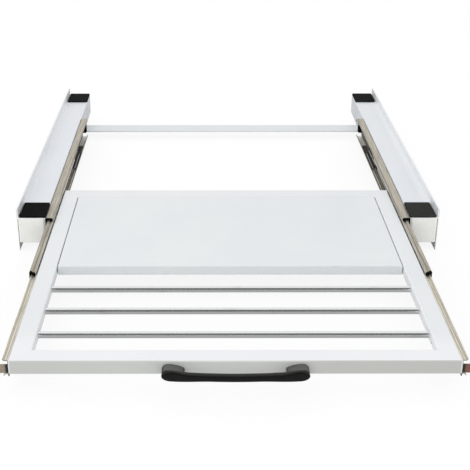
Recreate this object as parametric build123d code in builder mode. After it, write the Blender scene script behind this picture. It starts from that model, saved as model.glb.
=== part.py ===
from build123d import *
import os
from math import sqrt

# Stacking kit that joins a washer and a dryer, with a pull-out shelf between them.
# Millimetres. +X is to the right, +Y to the back and +Z up. The origin is under the middle
# of the kit with its shelf pulled out, level with the lower edges of the two side rails.

# Overall sizes
kit_width = 600
rail_length = 600
closed_proud = 6

# Side rails: folded sheet with an upstanding lip, open underneath
rail_sheet = 1.2
rail_plate_width = 41
rail_lip_height = 14
rail_inner_height = 35
rail_fold_radius = 1.0
block_height = 39
rail_flange_depth = 12

# Polystyrene blocks in the rails' ends and rubber pads above them
block_length = 60
block_side_gap = 0.3
block_corner = 2.5
block_foot_radius = 2
pad_length = 50
pad_side_gap = 0.3
pad_thickness = 3
pad_corner = 2
pad_edge_radius = 0.8

# Rear crossbar: a strip with a turned-up tab at each end
crossbar_depth = 35
crossbar_sheet = 2
crossbar_fold_radius = 1.0
crossbar_tab_height = 20
crossbar_setback = 32.2
crossbar_screw_level_share = 0.6
crossbar_screw_pitch = 20

# Ball bearing slides: three nested sheet members with two ball rows between each pair
slide_length_share = 0.75
slide_height = 35
slide_depth = 12.7
slide_sheet = 1.0
slide_fold_radius = 0.5
ball_diameter = 3.0
race_clearance = 0.15
running_gap = 0.3
open_overlap = 88
middle_travel_share = 0.442
middle_stop_gap = 3
middle_web_gap = 2.0
access_slot_length = 34
access_slot_height = 14
access_slot_shares = (0.3, 0.7)
inner_web_gap = 1.0
ridge_rise = 0.3
flange_setback = 4
stop_tab_height = 11
stop_tab_drop = 2.7
stop_tab_width = 12

# Ball cages
cage_sheet = 0.9
cage_web_gap = 0.6
cage_fold_radius = 0.6
outer_cage_share = 0.773
outer_row_share = 0.74
inner_cage_sheet = 0.6
inner_cage_web_gap = 0.4
inner_cage_share = 0.467
inner_row_share = 0.96
pocket_clearance = 0.1
pocket_margin = 8
balls_per_row = 6

# Plastic ends of the slides
buffer_thickness = 3
buffer_tongue = 5
bumper_length = 10
bumper_height = 12
bumper_setback = 2
bumper_corner = 1.5
window_length = 10

# Release levers in the inner members, each caught behind a stop on the middle member
catch_thickness = 3.4
catch_rise = 1
catch_drop = 3
lever_length = 54
lever_height = 6
lever_thickness = 1.8
lever_pivot_share = 0.5
lever_leg_length = 3
lever_leg_drop = 1
lever_leg_rise = 2.2
lever_finger_length = 9
lever_finger_drop = 2
lever_boss_diameter = 9
lever_pin_diameter = 4
lever_pin_clearance = 0.05
lever_pin_head_diameter = 7
lever_pin_head_height = 0.8
lever_head_gap = 0.2

# Fasteners
rivet_diameter = 4
rivet_head_diameter = 7
rivet_head_height = 0.3
rivet_back_diameter = 6
rivet_back_height = 1.4
rivet_shares = (0.2, 0.5, 0.85)
screw_diameter = 4
screw_head_diameter = 7.5
screw_head_height = 1.6
screw_reach = 5
screw_shares = (0.12, 0.62, 0.92)

# Shelf frame: folded sheet channel, open underneath
shelf_drop = 5.9
shelf_overhang = 36.7
shelf_height = 16.4
shelf_sheet = 1.2
shelf_fold_radius = 1.8
side_member_width = 22.1
front_member_width = 23.5
rear_member_width = 26.8
skirt_height = 12.7
ledge_width = 13
ledge_end_gap = 6

# Shelf panel: a tray that fills the back of the frame
panel_depth_share = 0.5305
panel_sheet = 1.0
panel_slit = 1.3
panel_back_gap = 0.4
panel_lip = 11
panel_fold_radius = 1.4
panel_screw_inset = 28

# Drying rods in front of the panel
rod_diameter = 8
rod_drop = 8
rod_pitch_share = 0.2704
rod_setback_share = 0.2386
rod_clearance = 0.1
rod_names = ("rear_rod", "middle_rod", "front_rod")

# Bow handle on the shelf's front
handle_width = 160
handle_drop = 3.5
handle_reach = 22.4
handle_foot_width = 25
handle_foot_height = 12.7
handle_foot_reach = 17.8
handle_foot_radius = 1.8
handle_bar_height = 7.5
handle_bar_thickness = 7
handle_bar_corner = 2.6
handle_hole_pitch = 135
handle_screw_grip = 9

# Cuts run past the faces that they open by this much
overrun = 1

# Levels, widths and depths worked out from the sizes above
plate_top = rail_flange_depth + block_height
lip_top = plate_top + rail_lip_height
rail_outer_x = kit_width / 2
wall_x = rail_outer_x - rail_plate_width
wall_bottom = plate_top - rail_inner_height
pad_width = rail_plate_width - 2 * rail_sheet - rail_fold_radius - pad_side_gap
slide_length = rail_length * slide_length_share
middle_length = slide_length - bumper_setback - bumper_length - middle_stop_gap
inner_length = middle_length - slide_sheet
outer_cage_length = slide_length * outer_cage_share
inner_cage_length = slide_length * inner_cage_share
drawer_travel = slide_length - open_overlap
middle_travel = drawer_travel * middle_travel_share
shelf_reach = drawer_travel + closed_proud
shelf_depth = slide_length + shelf_overhang
rail_front = (shelf_reach + handle_reach - rail_length) / 2
rail_back = rail_front + rail_length
slide_z = plate_top - slide_height / 2
slide_back = rail_front + slide_length
crossbar_back = slide_back + crossbar_setback + crossbar_depth
shelf_top = plate_top - shelf_drop
shelf_bottom = shelf_top - shelf_height
shelf_half_width = wall_x - slide_depth
shelf_front = rail_front - shelf_reach
shelf_back = shelf_front + shelf_depth
opening_half_width = shelf_half_width - side_member_width
opening_front = shelf_front + front_member_width
opening_back = shelf_back - rear_member_width
ledge_top = shelf_top - skirt_height
panel_half_width = opening_half_width - panel_slit
panel_back = opening_back - panel_back_gap
panel_depth = (opening_back - opening_front) * panel_depth_share
panel_front = panel_back - panel_depth
rod_room = panel_front - opening_front
ledge_front = panel_front + ledge_end_gap
ledge_back = panel_back - ledge_end_gap

# Slide section: u runs from the rail's wall to the shelf, v up from the slide's middle
ball_radius = ball_diameter / 2
race_radius = ball_radius + race_clearance
lip_u = slide_depth - slide_sheet - inner_web_gap
ball_u = lip_u - slide_sheet - race_radius
ball_x = wall_x - ball_u
outer_ball_v = slide_height / 2 - slide_sheet - race_radius
inner_ball_v = outer_ball_v - race_radius - slide_sheet - race_radius
inner_top_v = inner_ball_v - race_radius
lip_below_ball = race_radius - running_gap
middle_web_u = slide_sheet + middle_web_gap
ridge_u = ball_u - race_radius - slide_sheet
ridge_top_v = inner_ball_v + ridge_rise
inner_web_u = slide_depth - slide_sheet

# Depths of the sliding pieces with the shelf pulled out
middle_front = rail_front - middle_travel
tab_back = rail_front - drawer_travel - buffer_thickness - running_gap
inner_front = tab_back - slide_sheet
leg_front = middle_front + buffer_tongue + running_gap
leg_back = leg_front + lever_leg_length
outer_cage_front = rail_front + buffer_tongue + running_gap
inner_cage_front = leg_back + running_gap
lever_outer_u = inner_web_u - running_gap
lever_inner_u = lever_outer_u - lever_thickness
lever_y = leg_back - lever_length * lever_pivot_share

sides = (("left", -1), ("right", 1))


def cross_plane(y):
    """Upright plane across the kit at depth y, facing forwards: local x is +X, local y is +Z."""
    return Plane.XZ.offset(-y)


def slide_plane(side, y):
    """Upright plane at depth y, facing back: local x is u, local y is v, or -v on the left."""
    return Plane(origin=(side * wall_x, y, slide_z), x_dir=(-side, 0, 0), z_dir=(0, 1, 0))


def side_plane(side, u):
    """Upright plane along the kit at u from the rail's wall: local x is +Y, local y is +Z."""
    return Plane.YZ.offset(side * (wall_x - u))


def write_piece(piece, name):
    """Label a finished piece and write it to its own file."""
    piece.part.label = name
    export_step(piece.part, f"parts/{name}.step")


def rivet_places():
    """Depth and level of each rivet that holds an outer slide member to its rail."""
    return [(rail_front + share * slide_length, slide_z) for share in rivet_shares]


def inner_screw_places():
    """Depth and level of each screw that holds an inner slide member to the shelf."""
    return [(inner_front + share * inner_length, slide_z) for share in screw_shares]


def crossbar_screw_places():
    """Depth and level of the two screws at each end of the crossbar."""
    middle = crossbar_back - crossbar_depth / 2
    level = wall_bottom + crossbar_tab_height * crossbar_screw_level_share
    half = crossbar_screw_pitch / 2
    return [(middle - half, level), (middle + half, level)]


# Side rails
def make_rail(side):
    """Sheet doubled back into a lip, run across into a plate and down into an inner wall."""
    outline = [
        (rail_outer_x, 0),
        (rail_outer_x, lip_top),
        (rail_outer_x - 2 * rail_sheet, lip_top),
        (rail_outer_x - 2 * rail_sheet, plate_top),
        (wall_x, plate_top),
        (wall_x, wall_bottom),
        (wall_x + rail_sheet, wall_bottom),
        (wall_x + rail_sheet, plate_top - rail_sheet),
        (rail_outer_x - rail_sheet, plate_top - rail_sheet),
        (rail_outer_x - rail_sheet, 0),
    ]
    bend = rail_fold_radius
    radii = [0, bend, bend, bend, bend + rail_sheet, 0, 0, bend, 0, 0]
    with BuildPart() as rail:
        with BuildSketch(cross_plane(rail_front)):
            with BuildLine():
                FilletPolyline([(side * x, z) for x, z in outline], radius=radii, close=True)
            make_face()
        extrude(amount=-rail_length)
        with BuildSketch(side_plane(side, 0)):
            with Locations(rivet_places()):
                Circle(rivet_diameter / 2)
            with Locations(crossbar_screw_places()):
                Circle(screw_diameter / 2)
        extrude(amount=rail_sheet + overrun, both=True, mode=Mode.SUBTRACT)
    return rail


def make_block(side, front):
    """Polystyrene block that fills a rail's end and rests on the washer's top."""
    inside = wall_x + rail_sheet + block_side_gap
    outside = rail_outer_x - rail_sheet - block_side_gap
    with BuildPart() as block:
        with BuildSketch(Plane.XY.offset(rail_flange_depth)):
            with Locations((side * (inside + outside) / 2, front + block_length / 2)):
                Rectangle(outside - inside, block_length)
        extrude(amount=block_height - rail_sheet)
        chamfer(block.edges().filter_by(Axis.Y).group_by(Axis.Z)[-1], rail_fold_radius)
        fillet(block.edges().filter_by(Axis.Z), block_corner)
        fillet(block.faces().sort_by(Axis.Z)[0].edges(), block_foot_radius)
    return block


def make_pad(side, front):
    """Rubber pad on a rail's end, under one of the dryer's feet."""
    with BuildPart() as pad:
        with BuildSketch(Plane.XY.offset(plate_top)):
            with Locations((side * (wall_x + pad_width / 2), front + pad_length / 2)):
                RectangleRounded(pad_width, pad_length, pad_corner)
        extrude(amount=pad_thickness)
        fillet(pad.faces().sort_by(Axis.Z)[-1].edges(), pad_edge_radius)
    return pad


# Rear crossbar
def make_crossbar():
    """Strip from rail to rail under the inner walls' edges, with its ends turned up."""
    under = wall_bottom - crossbar_sheet
    tab_top = wall_bottom + crossbar_tab_height
    route = [(-wall_x, tab_top), (-wall_x, under), (wall_x, under), (wall_x, tab_top)]
    with BuildPart() as crossbar:
        with BuildSketch(cross_plane(crossbar_back - crossbar_depth)):
            with BuildLine():
                FilletPolyline(route, radius=crossbar_fold_radius + crossbar_sheet)
                offset(amount=crossbar_sheet, side=Side.LEFT)
            make_face()
        extrude(amount=-crossbar_depth)
        with BuildSketch(Plane.YZ):
            with Locations(crossbar_screw_places()):
                Circle(screw_diameter / 2)
        extrude(amount=kit_width / 2, both=True, mode=Mode.SUBTRACT)
    return crossbar


def make_crossbar_screws():
    """Pan-head screws through the crossbar's tabs and the rails' inner walls."""
    grip = crossbar_sheet + rail_sheet + screw_reach
    with BuildPart() as screws:
        for name, side in sides:
            with BuildSketch(side_plane(side, crossbar_sheet)):
                with Locations(crossbar_screw_places()):
                    Circle(screw_head_diameter / 2)
            extrude(amount=-side * screw_head_height)
            with BuildSketch(side_plane(side, crossbar_sheet)):
                with Locations(crossbar_screw_places()):
                    Circle(screw_diameter / 2)
            extrude(amount=side * grip)
    return screws


# Surfaces of the slide members' upper halves, drawn in u and v
def roll_over(ball_v):
    """Flange rolled round a ball row and on down into the lip that keeps the balls in."""
    CenterArc((ball_u, ball_v), race_radius + slide_sheet, 90, -90)
    Line((lip_u, ball_v), (lip_u, ball_v - lip_below_ball))


def outer_surface():
    """Outside of an outer member, from its web up and over to its lip."""
    top = slide_height / 2
    FilletPolyline((0, 0), (0, top), (ball_u, top), radius=slide_fold_radius + slide_sheet)
    roll_over(outer_ball_v)


def middle_surface():
    """Outside of a middle member: web, shoulder, race for the outer balls, and lip."""
    shoulder = [(middle_web_u, 0), (middle_web_u, outer_ball_v), (ball_u - race_radius, outer_ball_v)]
    FilletPolyline(shoulder, radius=slide_fold_radius + slide_sheet)
    CenterArc((ball_u, outer_ball_v), race_radius, 180, 90)
    roll_over(inner_ball_v)


def inner_surface():
    """Outside of an inner member: ridge, race for the inner balls, flange and web."""
    Line((ball_u - race_radius, ridge_top_v), (ball_u - race_radius, inner_ball_v))
    CenterArc((ball_u, inner_ball_v), race_radius, 180, 90)
    corner = [(ball_u, inner_top_v), (slide_depth, inner_top_v), (slide_depth, 0)]
    FilletPolyline(corner, radius=slide_fold_radius + slide_sheet)


def running_outline(web_u, top_v, ball_v):
    """Half of the room that a nested member needs, grown by the running gap and open at its lip."""
    gap = running_gap
    past_lip = lip_u + overrun
    race = ball_u - race_radius + gap
    top = top_v + gap
    Polyline((past_lip, 0), (web_u - gap, 0), (web_u - gap, top), (race, top), (race, ball_v))
    CenterArc((ball_u, ball_v), race_radius - gap, 180, 90)
    under = ball_v - race_radius + gap
    Polyline((ball_u, under), (past_lip, under), (past_lip, 0))


# Slide members
def make_outer_slide(side):
    """Fixed member on the rail's wall, with a window punched near its back end."""
    with BuildPart() as member:
        with BuildSketch(slide_plane(side, rail_front)):
            with BuildLine():
                outer_surface()
                offset(amount=slide_sheet, side=Side.RIGHT)
            make_face()
            mirror(about=Plane.XZ)
        extrude(amount=slide_length)
        window_back = slide_back - bumper_setback - bumper_length
        with BuildSketch(side_plane(side, 0)):
            with Locations(rivet_places()):
                Circle(rivet_diameter / 2)
            with Locations((window_back - window_length / 2, slide_z)):
                Rectangle(window_length, bumper_height)
        extrude(amount=-side * (slide_sheet + race_clearance), mode=Mode.SUBTRACT)
    return member


def make_middle_slide(side):
    """Middle member, which runs on the outer balls and carries the inner ones."""
    with BuildPart() as member:
        with BuildSketch(slide_plane(side, middle_front)):
            with BuildLine():
                middle_surface()
                offset(amount=slide_sheet, side=Side.RIGHT)
            make_face()
            mirror(about=Plane.XZ)
        extrude(amount=middle_length)
        with BuildSketch(side_plane(side, middle_web_u)):
            with Locations([(middle_front + s * middle_length, slide_z) for s in access_slot_shares]):
                SlotOverall(access_slot_length, access_slot_height)
        extrude(amount=-side * (slide_sheet + race_clearance), mode=Mode.SUBTRACT)
    return member


def make_inner_slide(side):
    """Inner member on the shelf's side, its web bent outwards at the front into a stop tab."""
    tab_middle_v = inner_top_v - stop_tab_drop - stop_tab_height / 2
    with BuildPart() as member:
        with BuildSketch(slide_plane(side, inner_front + flange_setback)):
            with BuildLine():
                inner_surface()
                offset(amount=slide_sheet, side=Side.RIGHT)
            make_face()
            mirror(about=Plane.XZ)
        extrude(amount=inner_length - flange_setback)
        with BuildSketch(slide_plane(side, inner_front)):
            with Locations((slide_depth - slide_sheet / 2, 0)):
                Rectangle(slide_sheet, 2 * inner_top_v)
        extrude(amount=flange_setback)
        with BuildSketch(slide_plane(side, inner_front)):
            with Locations((slide_depth - stop_tab_width / 2, side * tab_middle_v)):
                Rectangle(stop_tab_width, stop_tab_height)
        extrude(amount=slide_sheet)
        with BuildSketch(side_plane(side, slide_depth)):
            with Locations(inner_screw_places()):
                Circle(screw_diameter / 2)
            with Locations((lever_y, slide_z)):
                Circle(lever_pin_diameter / 2)
        extrude(amount=side * (slide_sheet + race_clearance), mode=Mode.SUBTRACT)
    return member


# Plastic ends of the slides
def make_outer_buffer(side):
    """Plastic front end of the outer member, with a tongue held between the two webs."""
    with BuildPart() as buffer:
        with BuildSketch(slide_plane(side, rail_front - buffer_thickness)):
            with BuildLine():
                outer_surface()
                Polyline((lip_u, outer_ball_v - lip_below_ball), (lip_u, 0), (0, 0))
            make_face()
            with BuildLine():
                running_outline(middle_web_u, outer_ball_v, outer_ball_v)
            make_face(mode=Mode.SUBTRACT)
            mirror(about=Plane.XZ)
        extrude(amount=buffer_thickness)
        tongue_u = middle_web_u - running_gap
        with BuildSketch(slide_plane(side, rail_front)):
            with Locations(((slide_sheet + tongue_u) / 2, 0)):
                Rectangle(tongue_u - slide_sheet, slide_height - 2 * slide_sheet - 2 * slide_fold_radius)
        extrude(amount=buffer_tongue)
    return buffer


def make_middle_buffer(side):
    """Plastic front end of the middle member, with the stop that the release lever catches."""
    with BuildPart() as buffer:
        with BuildSketch(slide_plane(side, middle_front - buffer_thickness)):
            with BuildLine():
                middle_surface()
                Polyline((lip_u, inner_ball_v - lip_below_ball), (lip_u, 0), (middle_web_u, 0))
            make_face()
            with BuildLine():
                running_outline(ridge_u, ridge_top_v, inner_ball_v)
            make_face(mode=Mode.SUBTRACT)
            mirror(about=Plane.XZ)
        extrude(amount=buffer_thickness)
        web_u = middle_web_u + slide_sheet
        tongue_u = ridge_u - running_gap
        with BuildSketch(slide_plane(side, middle_front)):
            with Locations(((web_u + tongue_u) / 2, 0)):
                Rectangle(tongue_u - web_u, 2 * (outer_ball_v - slide_sheet - slide_fold_radius))
            with Locations((web_u + catch_thickness / 2, side * (catch_rise - catch_drop) / 2)):
                Rectangle(catch_thickness, catch_rise + catch_drop)
        extrude(amount=buffer_tongue)
    return buffer


def make_bumper(side):
    """Rubber block at the back of the outer member, where the middle member comes to rest."""
    inside = lip_u - slide_sheet
    with BuildPart() as bumper:
        with BuildSketch(slide_plane(side, slide_back - bumper_setback - bumper_length)):
            with Locations(((slide_sheet + inside) / 2, 0)):
                Rectangle(inside - slide_sheet, bumper_height)
        extrude(amount=bumper_length)
        far_side = Axis((0, 0, 0), (-side, 0, 0))
        fillet(bumper.faces().sort_by(far_side)[-1].edges(), bumper_corner)
    return bumper


# Ball cages and their balls
def ball_depths(front, length, row_share):
    """Depths of a row's balls, evenly spaced along their share of the cage."""
    first = front + pocket_margin
    last = front + length * row_share - pocket_margin
    step = (last - first) / (balls_per_row - 1)
    return [first + i * step for i in range(balls_per_row)]


def make_cage(side, front, length, row_share, web_u, sheet, ball_v, arm_v):
    """Plastic channel whose two arms, arm_v from the middle, hold a row of balls each."""
    arm_top = arm_v + sheet
    reach = ball_u + sqrt(ball_radius**2 - (arm_top - ball_v) ** 2)
    with BuildPart() as cage:
        with BuildSketch(slide_plane(side, front)):
            with BuildLine():
                route = [(web_u, 0), (web_u, arm_top), (reach, arm_top)]
                FilletPolyline(route, radius=cage_fold_radius + sheet)
                offset(amount=sheet, side=Side.RIGHT)
            make_face()
            mirror(about=Plane.XZ)
        extrude(amount=length)
        with BuildSketch(Plane.XY.offset(slide_z)):
            with Locations([(side * ball_x, y) for y in ball_depths(front, length, row_share)]):
                Circle(ball_radius + pocket_clearance)
        extrude(amount=slide_height / 2, both=True, mode=Mode.SUBTRACT)
    return cage


def make_balls(side, front, length, row_share, ball_v):
    """Upper and lower rows of steel balls."""
    depths = ball_depths(front, length, row_share)
    places = [(side * ball_x, y, slide_z + v) for y in depths for v in (ball_v, -ball_v)]
    with BuildPart() as balls:
        with Locations(places):
            Sphere(ball_radius)
    return balls


# Fasteners of the slides
def make_rivets(side):
    """Rivets through the outer member's web and the rail's wall, with low heads under the cage."""
    with BuildPart() as rivets:
        with BuildSketch(side_plane(side, slide_sheet)):
            with Locations(rivet_places()):
                Circle(rivet_head_diameter / 2)
        extrude(amount=-side * rivet_head_height)
        with BuildSketch(side_plane(side, slide_sheet)):
            with Locations(rivet_places()):
                Circle(rivet_diameter / 2)
        extrude(amount=side * (slide_sheet + rail_sheet))
        with BuildSketch(side_plane(side, -rail_sheet)):
            with Locations(rivet_places()):
                Circle(rivet_back_diameter / 2)
        extrude(amount=side * rivet_back_height)
    return rivets


def make_inner_screws(side):
    """Pan-head screws through the inner member's web into the shelf's side."""
    with BuildPart() as screws:
        with BuildSketch(side_plane(side, inner_web_u)):
            with Locations(inner_screw_places()):
                Circle(screw_head_diameter / 2)
        extrude(amount=side * screw_head_height)
        with BuildSketch(side_plane(side, inner_web_u)):
            with Locations(inner_screw_places()):
                Circle(screw_diameter / 2)
        extrude(amount=-side * (slide_sheet + shelf_sheet + screw_reach))
    return screws


# Release levers
def make_lever(side):
    """Lever with a finger piece in front and a leg behind that hooks over the stop."""
    body_v = lever_height / 2
    front = leg_back - lever_length
    leg_u = ridge_u + race_clearance
    with BuildPart() as lever:
        with BuildSketch(side_plane(side, lever_outer_u)):
            with BuildLine():
                Polyline(
                    (leg_back, slide_z - lever_leg_drop),
                    (leg_back, slide_z + lever_leg_rise),
                    (lever_y, slide_z + body_v),
                    (front, slide_z + lever_leg_rise),
                    (front, slide_z - lever_leg_drop - lever_finger_drop),
                    (front + lever_finger_length, slide_z - lever_leg_drop - lever_finger_drop),
                    (lever_y, slide_z - body_v),
                    close=True,
                )
            make_face()
            with Locations((lever_y, slide_z)):
                Circle(lever_boss_diameter / 2)
                Circle(lever_pin_diameter / 2 + lever_pin_clearance, mode=Mode.SUBTRACT)
        extrude(amount=side * lever_thickness)
        middle_v = (lever_leg_rise - lever_leg_drop) / 2
        with BuildSketch(side_plane(side, lever_inner_u)):
            with Locations((leg_back - lever_leg_length / 2, slide_z + middle_v)):
                Rectangle(lever_leg_length, lever_leg_rise + lever_leg_drop)
        extrude(amount=side * (lever_inner_u - leg_u))
    return lever


def make_lever_pin(side):
    """Riveted pin on the inner member's web, with a head that keeps the lever on."""
    head_u = lever_inner_u - lever_head_gap
    with BuildPart() as pin:
        with BuildSketch(side_plane(side, slide_depth)):
            with Locations((lever_y, slide_z)):
                Circle(lever_pin_diameter / 2)
        extrude(amount=side * (slide_depth - head_u))
        with BuildSketch(side_plane(side, head_u)):
            with Locations((lever_y, slide_z)):
                Circle(lever_pin_head_diameter / 2)
        extrude(amount=side * lever_pin_head_height)
    return pin


# Shelf frame
def rod_depths():
    """Depths of the drying rods, from the panel forwards."""
    shares = [rod_setback_share + i * rod_pitch_share for i in range(len(rod_names))]
    return [panel_front - share * rod_room for share in shares]


def panel_screw_places():
    """Places of the four screws that hold the panel down on the frame's ledges."""
    x = opening_half_width - ledge_width / 2
    return [
        (side * x, y)
        for name, side in sides
        for y in (ledge_front + panel_screw_inset, ledge_back - panel_screw_inset)
    ]


def handle_screw_places():
    """Places of the two handle screws on the shelf's front wall, across and up."""
    level = shelf_top - handle_drop - handle_foot_height / 2
    return [(-handle_hole_pitch / 2, level), (handle_hole_pitch / 2, level)]


def make_shelf_frame():
    """Folded channel round an opening, with ledges for the panel and holes for what it carries."""
    opening_depth = opening_back - opening_front
    opening_middle = (opening_front + opening_back) / 2
    with BuildPart() as frame:
        with BuildSketch(Plane.XY.offset(shelf_bottom)):
            with Locations((0, (shelf_front + shelf_back) / 2)):
                Rectangle(2 * shelf_half_width, shelf_depth)
            with Locations((0, opening_middle)):
                Rectangle(2 * opening_half_width, opening_depth, mode=Mode.SUBTRACT)
        extrude(amount=shelf_height)
        fillet(frame.faces().sort_by(Axis.Z)[-1].edges(), shelf_fold_radius)
        offset(amount=-shelf_sheet, openings=frame.faces().sort_by(Axis.Z)[0])
        with BuildSketch(Plane.XY.offset(shelf_bottom)):
            with Locations((0, opening_middle)):
                Rectangle(
                    2 * (opening_half_width + shelf_sheet + overrun),
                    opening_depth + 2 * (shelf_sheet + overrun),
                )
        extrude(amount=shelf_height - skirt_height, mode=Mode.SUBTRACT)
        with BuildSketch(Plane.XY.offset(ledge_top)):
            for name, side in sides:
                outside = opening_half_width + shelf_sheet
                middle_x = outside - (ledge_width + shelf_sheet) / 2
                with Locations((side * middle_x, (ledge_front + ledge_back) / 2)):
                    Rectangle(ledge_width + shelf_sheet, ledge_back - ledge_front)
            with Locations(panel_screw_places()):
                Circle(screw_diameter / 2, mode=Mode.SUBTRACT)
        extrude(amount=-shelf_sheet)
        rod_places = [(y, shelf_top - rod_drop) for y in rod_depths()]
        with BuildSketch(Plane.YZ):
            with Locations(rod_places):
                Circle(rod_diameter / 2 + rod_clearance)
        extrude(amount=opening_half_width + shelf_sheet + overrun, both=True, mode=Mode.SUBTRACT)
        with BuildSketch(Plane.YZ):
            with Locations(inner_screw_places()):
                Circle(screw_diameter / 2)
        extrude(amount=shelf_half_width + overrun, both=True, mode=Mode.SUBTRACT)
        with BuildSketch(cross_plane(shelf_front)):
            with Locations(handle_screw_places()):
                Circle(screw_diameter / 2)
        extrude(amount=-shelf_sheet - overrun, mode=Mode.SUBTRACT)
    return frame


def make_shelf_panel():
    """Tray with four folded walls, whose inturned side lips rest on the frame's ledges."""
    with BuildPart() as panel:
        with BuildSketch(Plane.XY.offset(ledge_top)):
            with Locations((0, (panel_front + panel_back) / 2)):
                Rectangle(2 * panel_half_width, panel_depth)
        extrude(amount=skirt_height)
        fillet(panel.faces().sort_by(Axis.Z)[-1].edges(), panel_fold_radius)
        offset(amount=-panel_sheet, openings=panel.faces().sort_by(Axis.Z)[0])
        with BuildSketch(Plane.XY.offset(ledge_top)):
            for name, side in sides:
                middle_x = panel_half_width - panel_lip / 2
                with Locations((side * middle_x, (ledge_front + ledge_back) / 2)):
                    Rectangle(panel_lip, ledge_back - ledge_front)
            with Locations(panel_screw_places()):
                Circle(screw_diameter / 2, mode=Mode.SUBTRACT)
        extrude(amount=panel_sheet)
    return panel


def make_panel_screws():
    """Screws up through the ledges and the panel's lips."""
    with BuildPart() as screws:
        with BuildSketch(Plane.XY.offset(ledge_top - shelf_sheet)):
            with Locations(panel_screw_places()):
                Circle(screw_head_diameter / 2)
        extrude(amount=-screw_head_height)
        with BuildSketch(Plane.XY.offset(ledge_top - shelf_sheet)):
            with Locations(panel_screw_places()):
                Circle(screw_diameter / 2)
        extrude(amount=shelf_sheet + panel_sheet + screw_reach)
    return screws


def make_rod(y):
    """Round rod through the side members' inner skirts, as long as the frame is wide inside."""
    with BuildPart() as rod:
        with BuildSketch(Plane.YZ):
            with Locations((y, shelf_top - rod_drop)):
                Circle(rod_diameter / 2)
        extrude(amount=shelf_half_width - shelf_sheet, both=True)
    return rod


# Handle
def make_handle():
    """Bowed bar between two oval feet that stand on the shelf's front wall."""
    foot_x = (handle_width - handle_foot_width) / 2
    foot_z = shelf_top - handle_drop - handle_foot_height / 2
    end_y = shelf_front - handle_foot_reach + handle_bar_thickness / 2
    middle_y = shelf_front - handle_reach + handle_bar_thickness / 2
    with BuildPart() as handle:
        with BuildSketch(cross_plane(shelf_front)):
            with Locations((-foot_x, foot_z), (foot_x, foot_z)):
                Ellipse(handle_foot_width / 2, handle_foot_height / 2)
        extrude(amount=handle_foot_reach)
        fillet(handle.faces().group_by(Axis.Y)[0].edges(), handle_foot_radius)
        with BuildLine(Plane.XY.offset(foot_z)) as bow:
            ThreePointArc((-foot_x, end_y), (0, middle_y), (foot_x, end_y))
        with BuildSketch(Plane(origin=bow.line @ 0, x_dir=(0, 0, 1), z_dir=bow.line % 0)):
            RectangleRounded(handle_bar_height, handle_bar_thickness, handle_bar_corner)
        sweep(path=bow.line)
        with BuildSketch(cross_plane(shelf_front)):
            with Locations(handle_screw_places()):
                Circle(screw_diameter / 2)
        extrude(amount=handle_screw_grip, mode=Mode.SUBTRACT)
    return handle


def make_handle_screws():
    """Screws from inside the front member into the handle's feet."""
    with BuildPart() as screws:
        with BuildSketch(cross_plane(shelf_front + shelf_sheet)):
            with Locations(handle_screw_places()):
                Circle(screw_head_diameter / 2)
        extrude(amount=-screw_head_height)
        with BuildSketch(cross_plane(shelf_front + shelf_sheet)):
            with Locations(handle_screw_places()):
                Circle(screw_diameter / 2)
        extrude(amount=shelf_sheet + handle_screw_grip)
    return screws


# Everything that comes once on each side
def make_side(name, side):
    """Write every piece of one side."""
    write_piece(make_rail(side), f"{name}_rail")
    ends = (
        ("front", rail_front, rail_front),
        ("rear", rail_back - block_length, rail_back - pad_length),
    )
    for end, block_front, pad_front in ends:
        write_piece(make_block(side, block_front), f"{name}_{end}_block")
        write_piece(make_pad(side, pad_front), f"{name}_{end}_pad")
    write_piece(make_outer_slide(side), f"{name}_outer_slide")
    write_piece(make_rivets(side), f"{name}_outer_rivets")
    write_piece(make_outer_buffer(side), f"{name}_outer_buffer")
    write_piece(make_bumper(side), f"{name}_rear_bumper")
    write_piece(make_middle_slide(side), f"{name}_middle_slide")
    write_piece(make_middle_buffer(side), f"{name}_middle_buffer")
    write_piece(make_inner_slide(side), f"{name}_inner_slide")
    write_piece(make_inner_screws(side), f"{name}_inner_screws")
    write_piece(make_lever(side), f"{name}_release_lever")
    write_piece(make_lever_pin(side), f"{name}_lever_pin")
    outer_row = (outer_cage_front, outer_cage_length, outer_row_share)
    inner_row = (inner_cage_front, inner_cage_length, inner_row_share)
    outer_cage = make_cage(
        side,
        *outer_row,
        web_u=slide_sheet + cage_web_gap,
        sheet=cage_sheet,
        ball_v=outer_ball_v,
        arm_v=outer_ball_v + running_gap,
    )
    inner_cage = make_cage(
        side,
        *inner_row,
        web_u=middle_web_u + slide_sheet + inner_cage_web_gap,
        sheet=inner_cage_sheet,
        ball_v=inner_ball_v,
        arm_v=ridge_top_v + running_gap,
    )
    write_piece(outer_cage, f"{name}_outer_cage")
    write_piece(inner_cage, f"{name}_inner_cage")
    write_piece(make_balls(side, *outer_row, outer_ball_v), f"{name}_outer_balls")
    write_piece(make_balls(side, *inner_row, inner_ball_v), f"{name}_inner_balls")


os.makedirs("parts", exist_ok=True)
for side_name, side_sign in sides:
    make_side(side_name, side_sign)
write_piece(make_crossbar(), "rear_crossbar")
write_piece(make_crossbar_screws(), "crossbar_screws")
write_piece(make_shelf_frame(), "shelf_frame")
write_piece(make_shelf_panel(), "shelf_panel")
write_piece(make_panel_screws(), "panel_screws")
for rod_name, rod_y in zip(rod_names, rod_depths()):
    write_piece(make_rod(rod_y), rod_name)
write_piece(make_handle(), "handle")
write_piece(make_handle_screws(), "handle_screws")
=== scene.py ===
"""Stacking kit for a washer and a dryer, with a pull-out shelf between them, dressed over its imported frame.

Lengths are metres in the frame's own axes: +X to the right, +Y to the back, +Z up. The CAD pieces keep
their shapes and get their finishes here. The handle and the screws are surfaces of this file, because
their real shapes are softer or finer than the solids that they replace.
"""

import logging
import math
from dataclasses import dataclass, field
from enum import Enum
from typing import ClassVar

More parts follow.
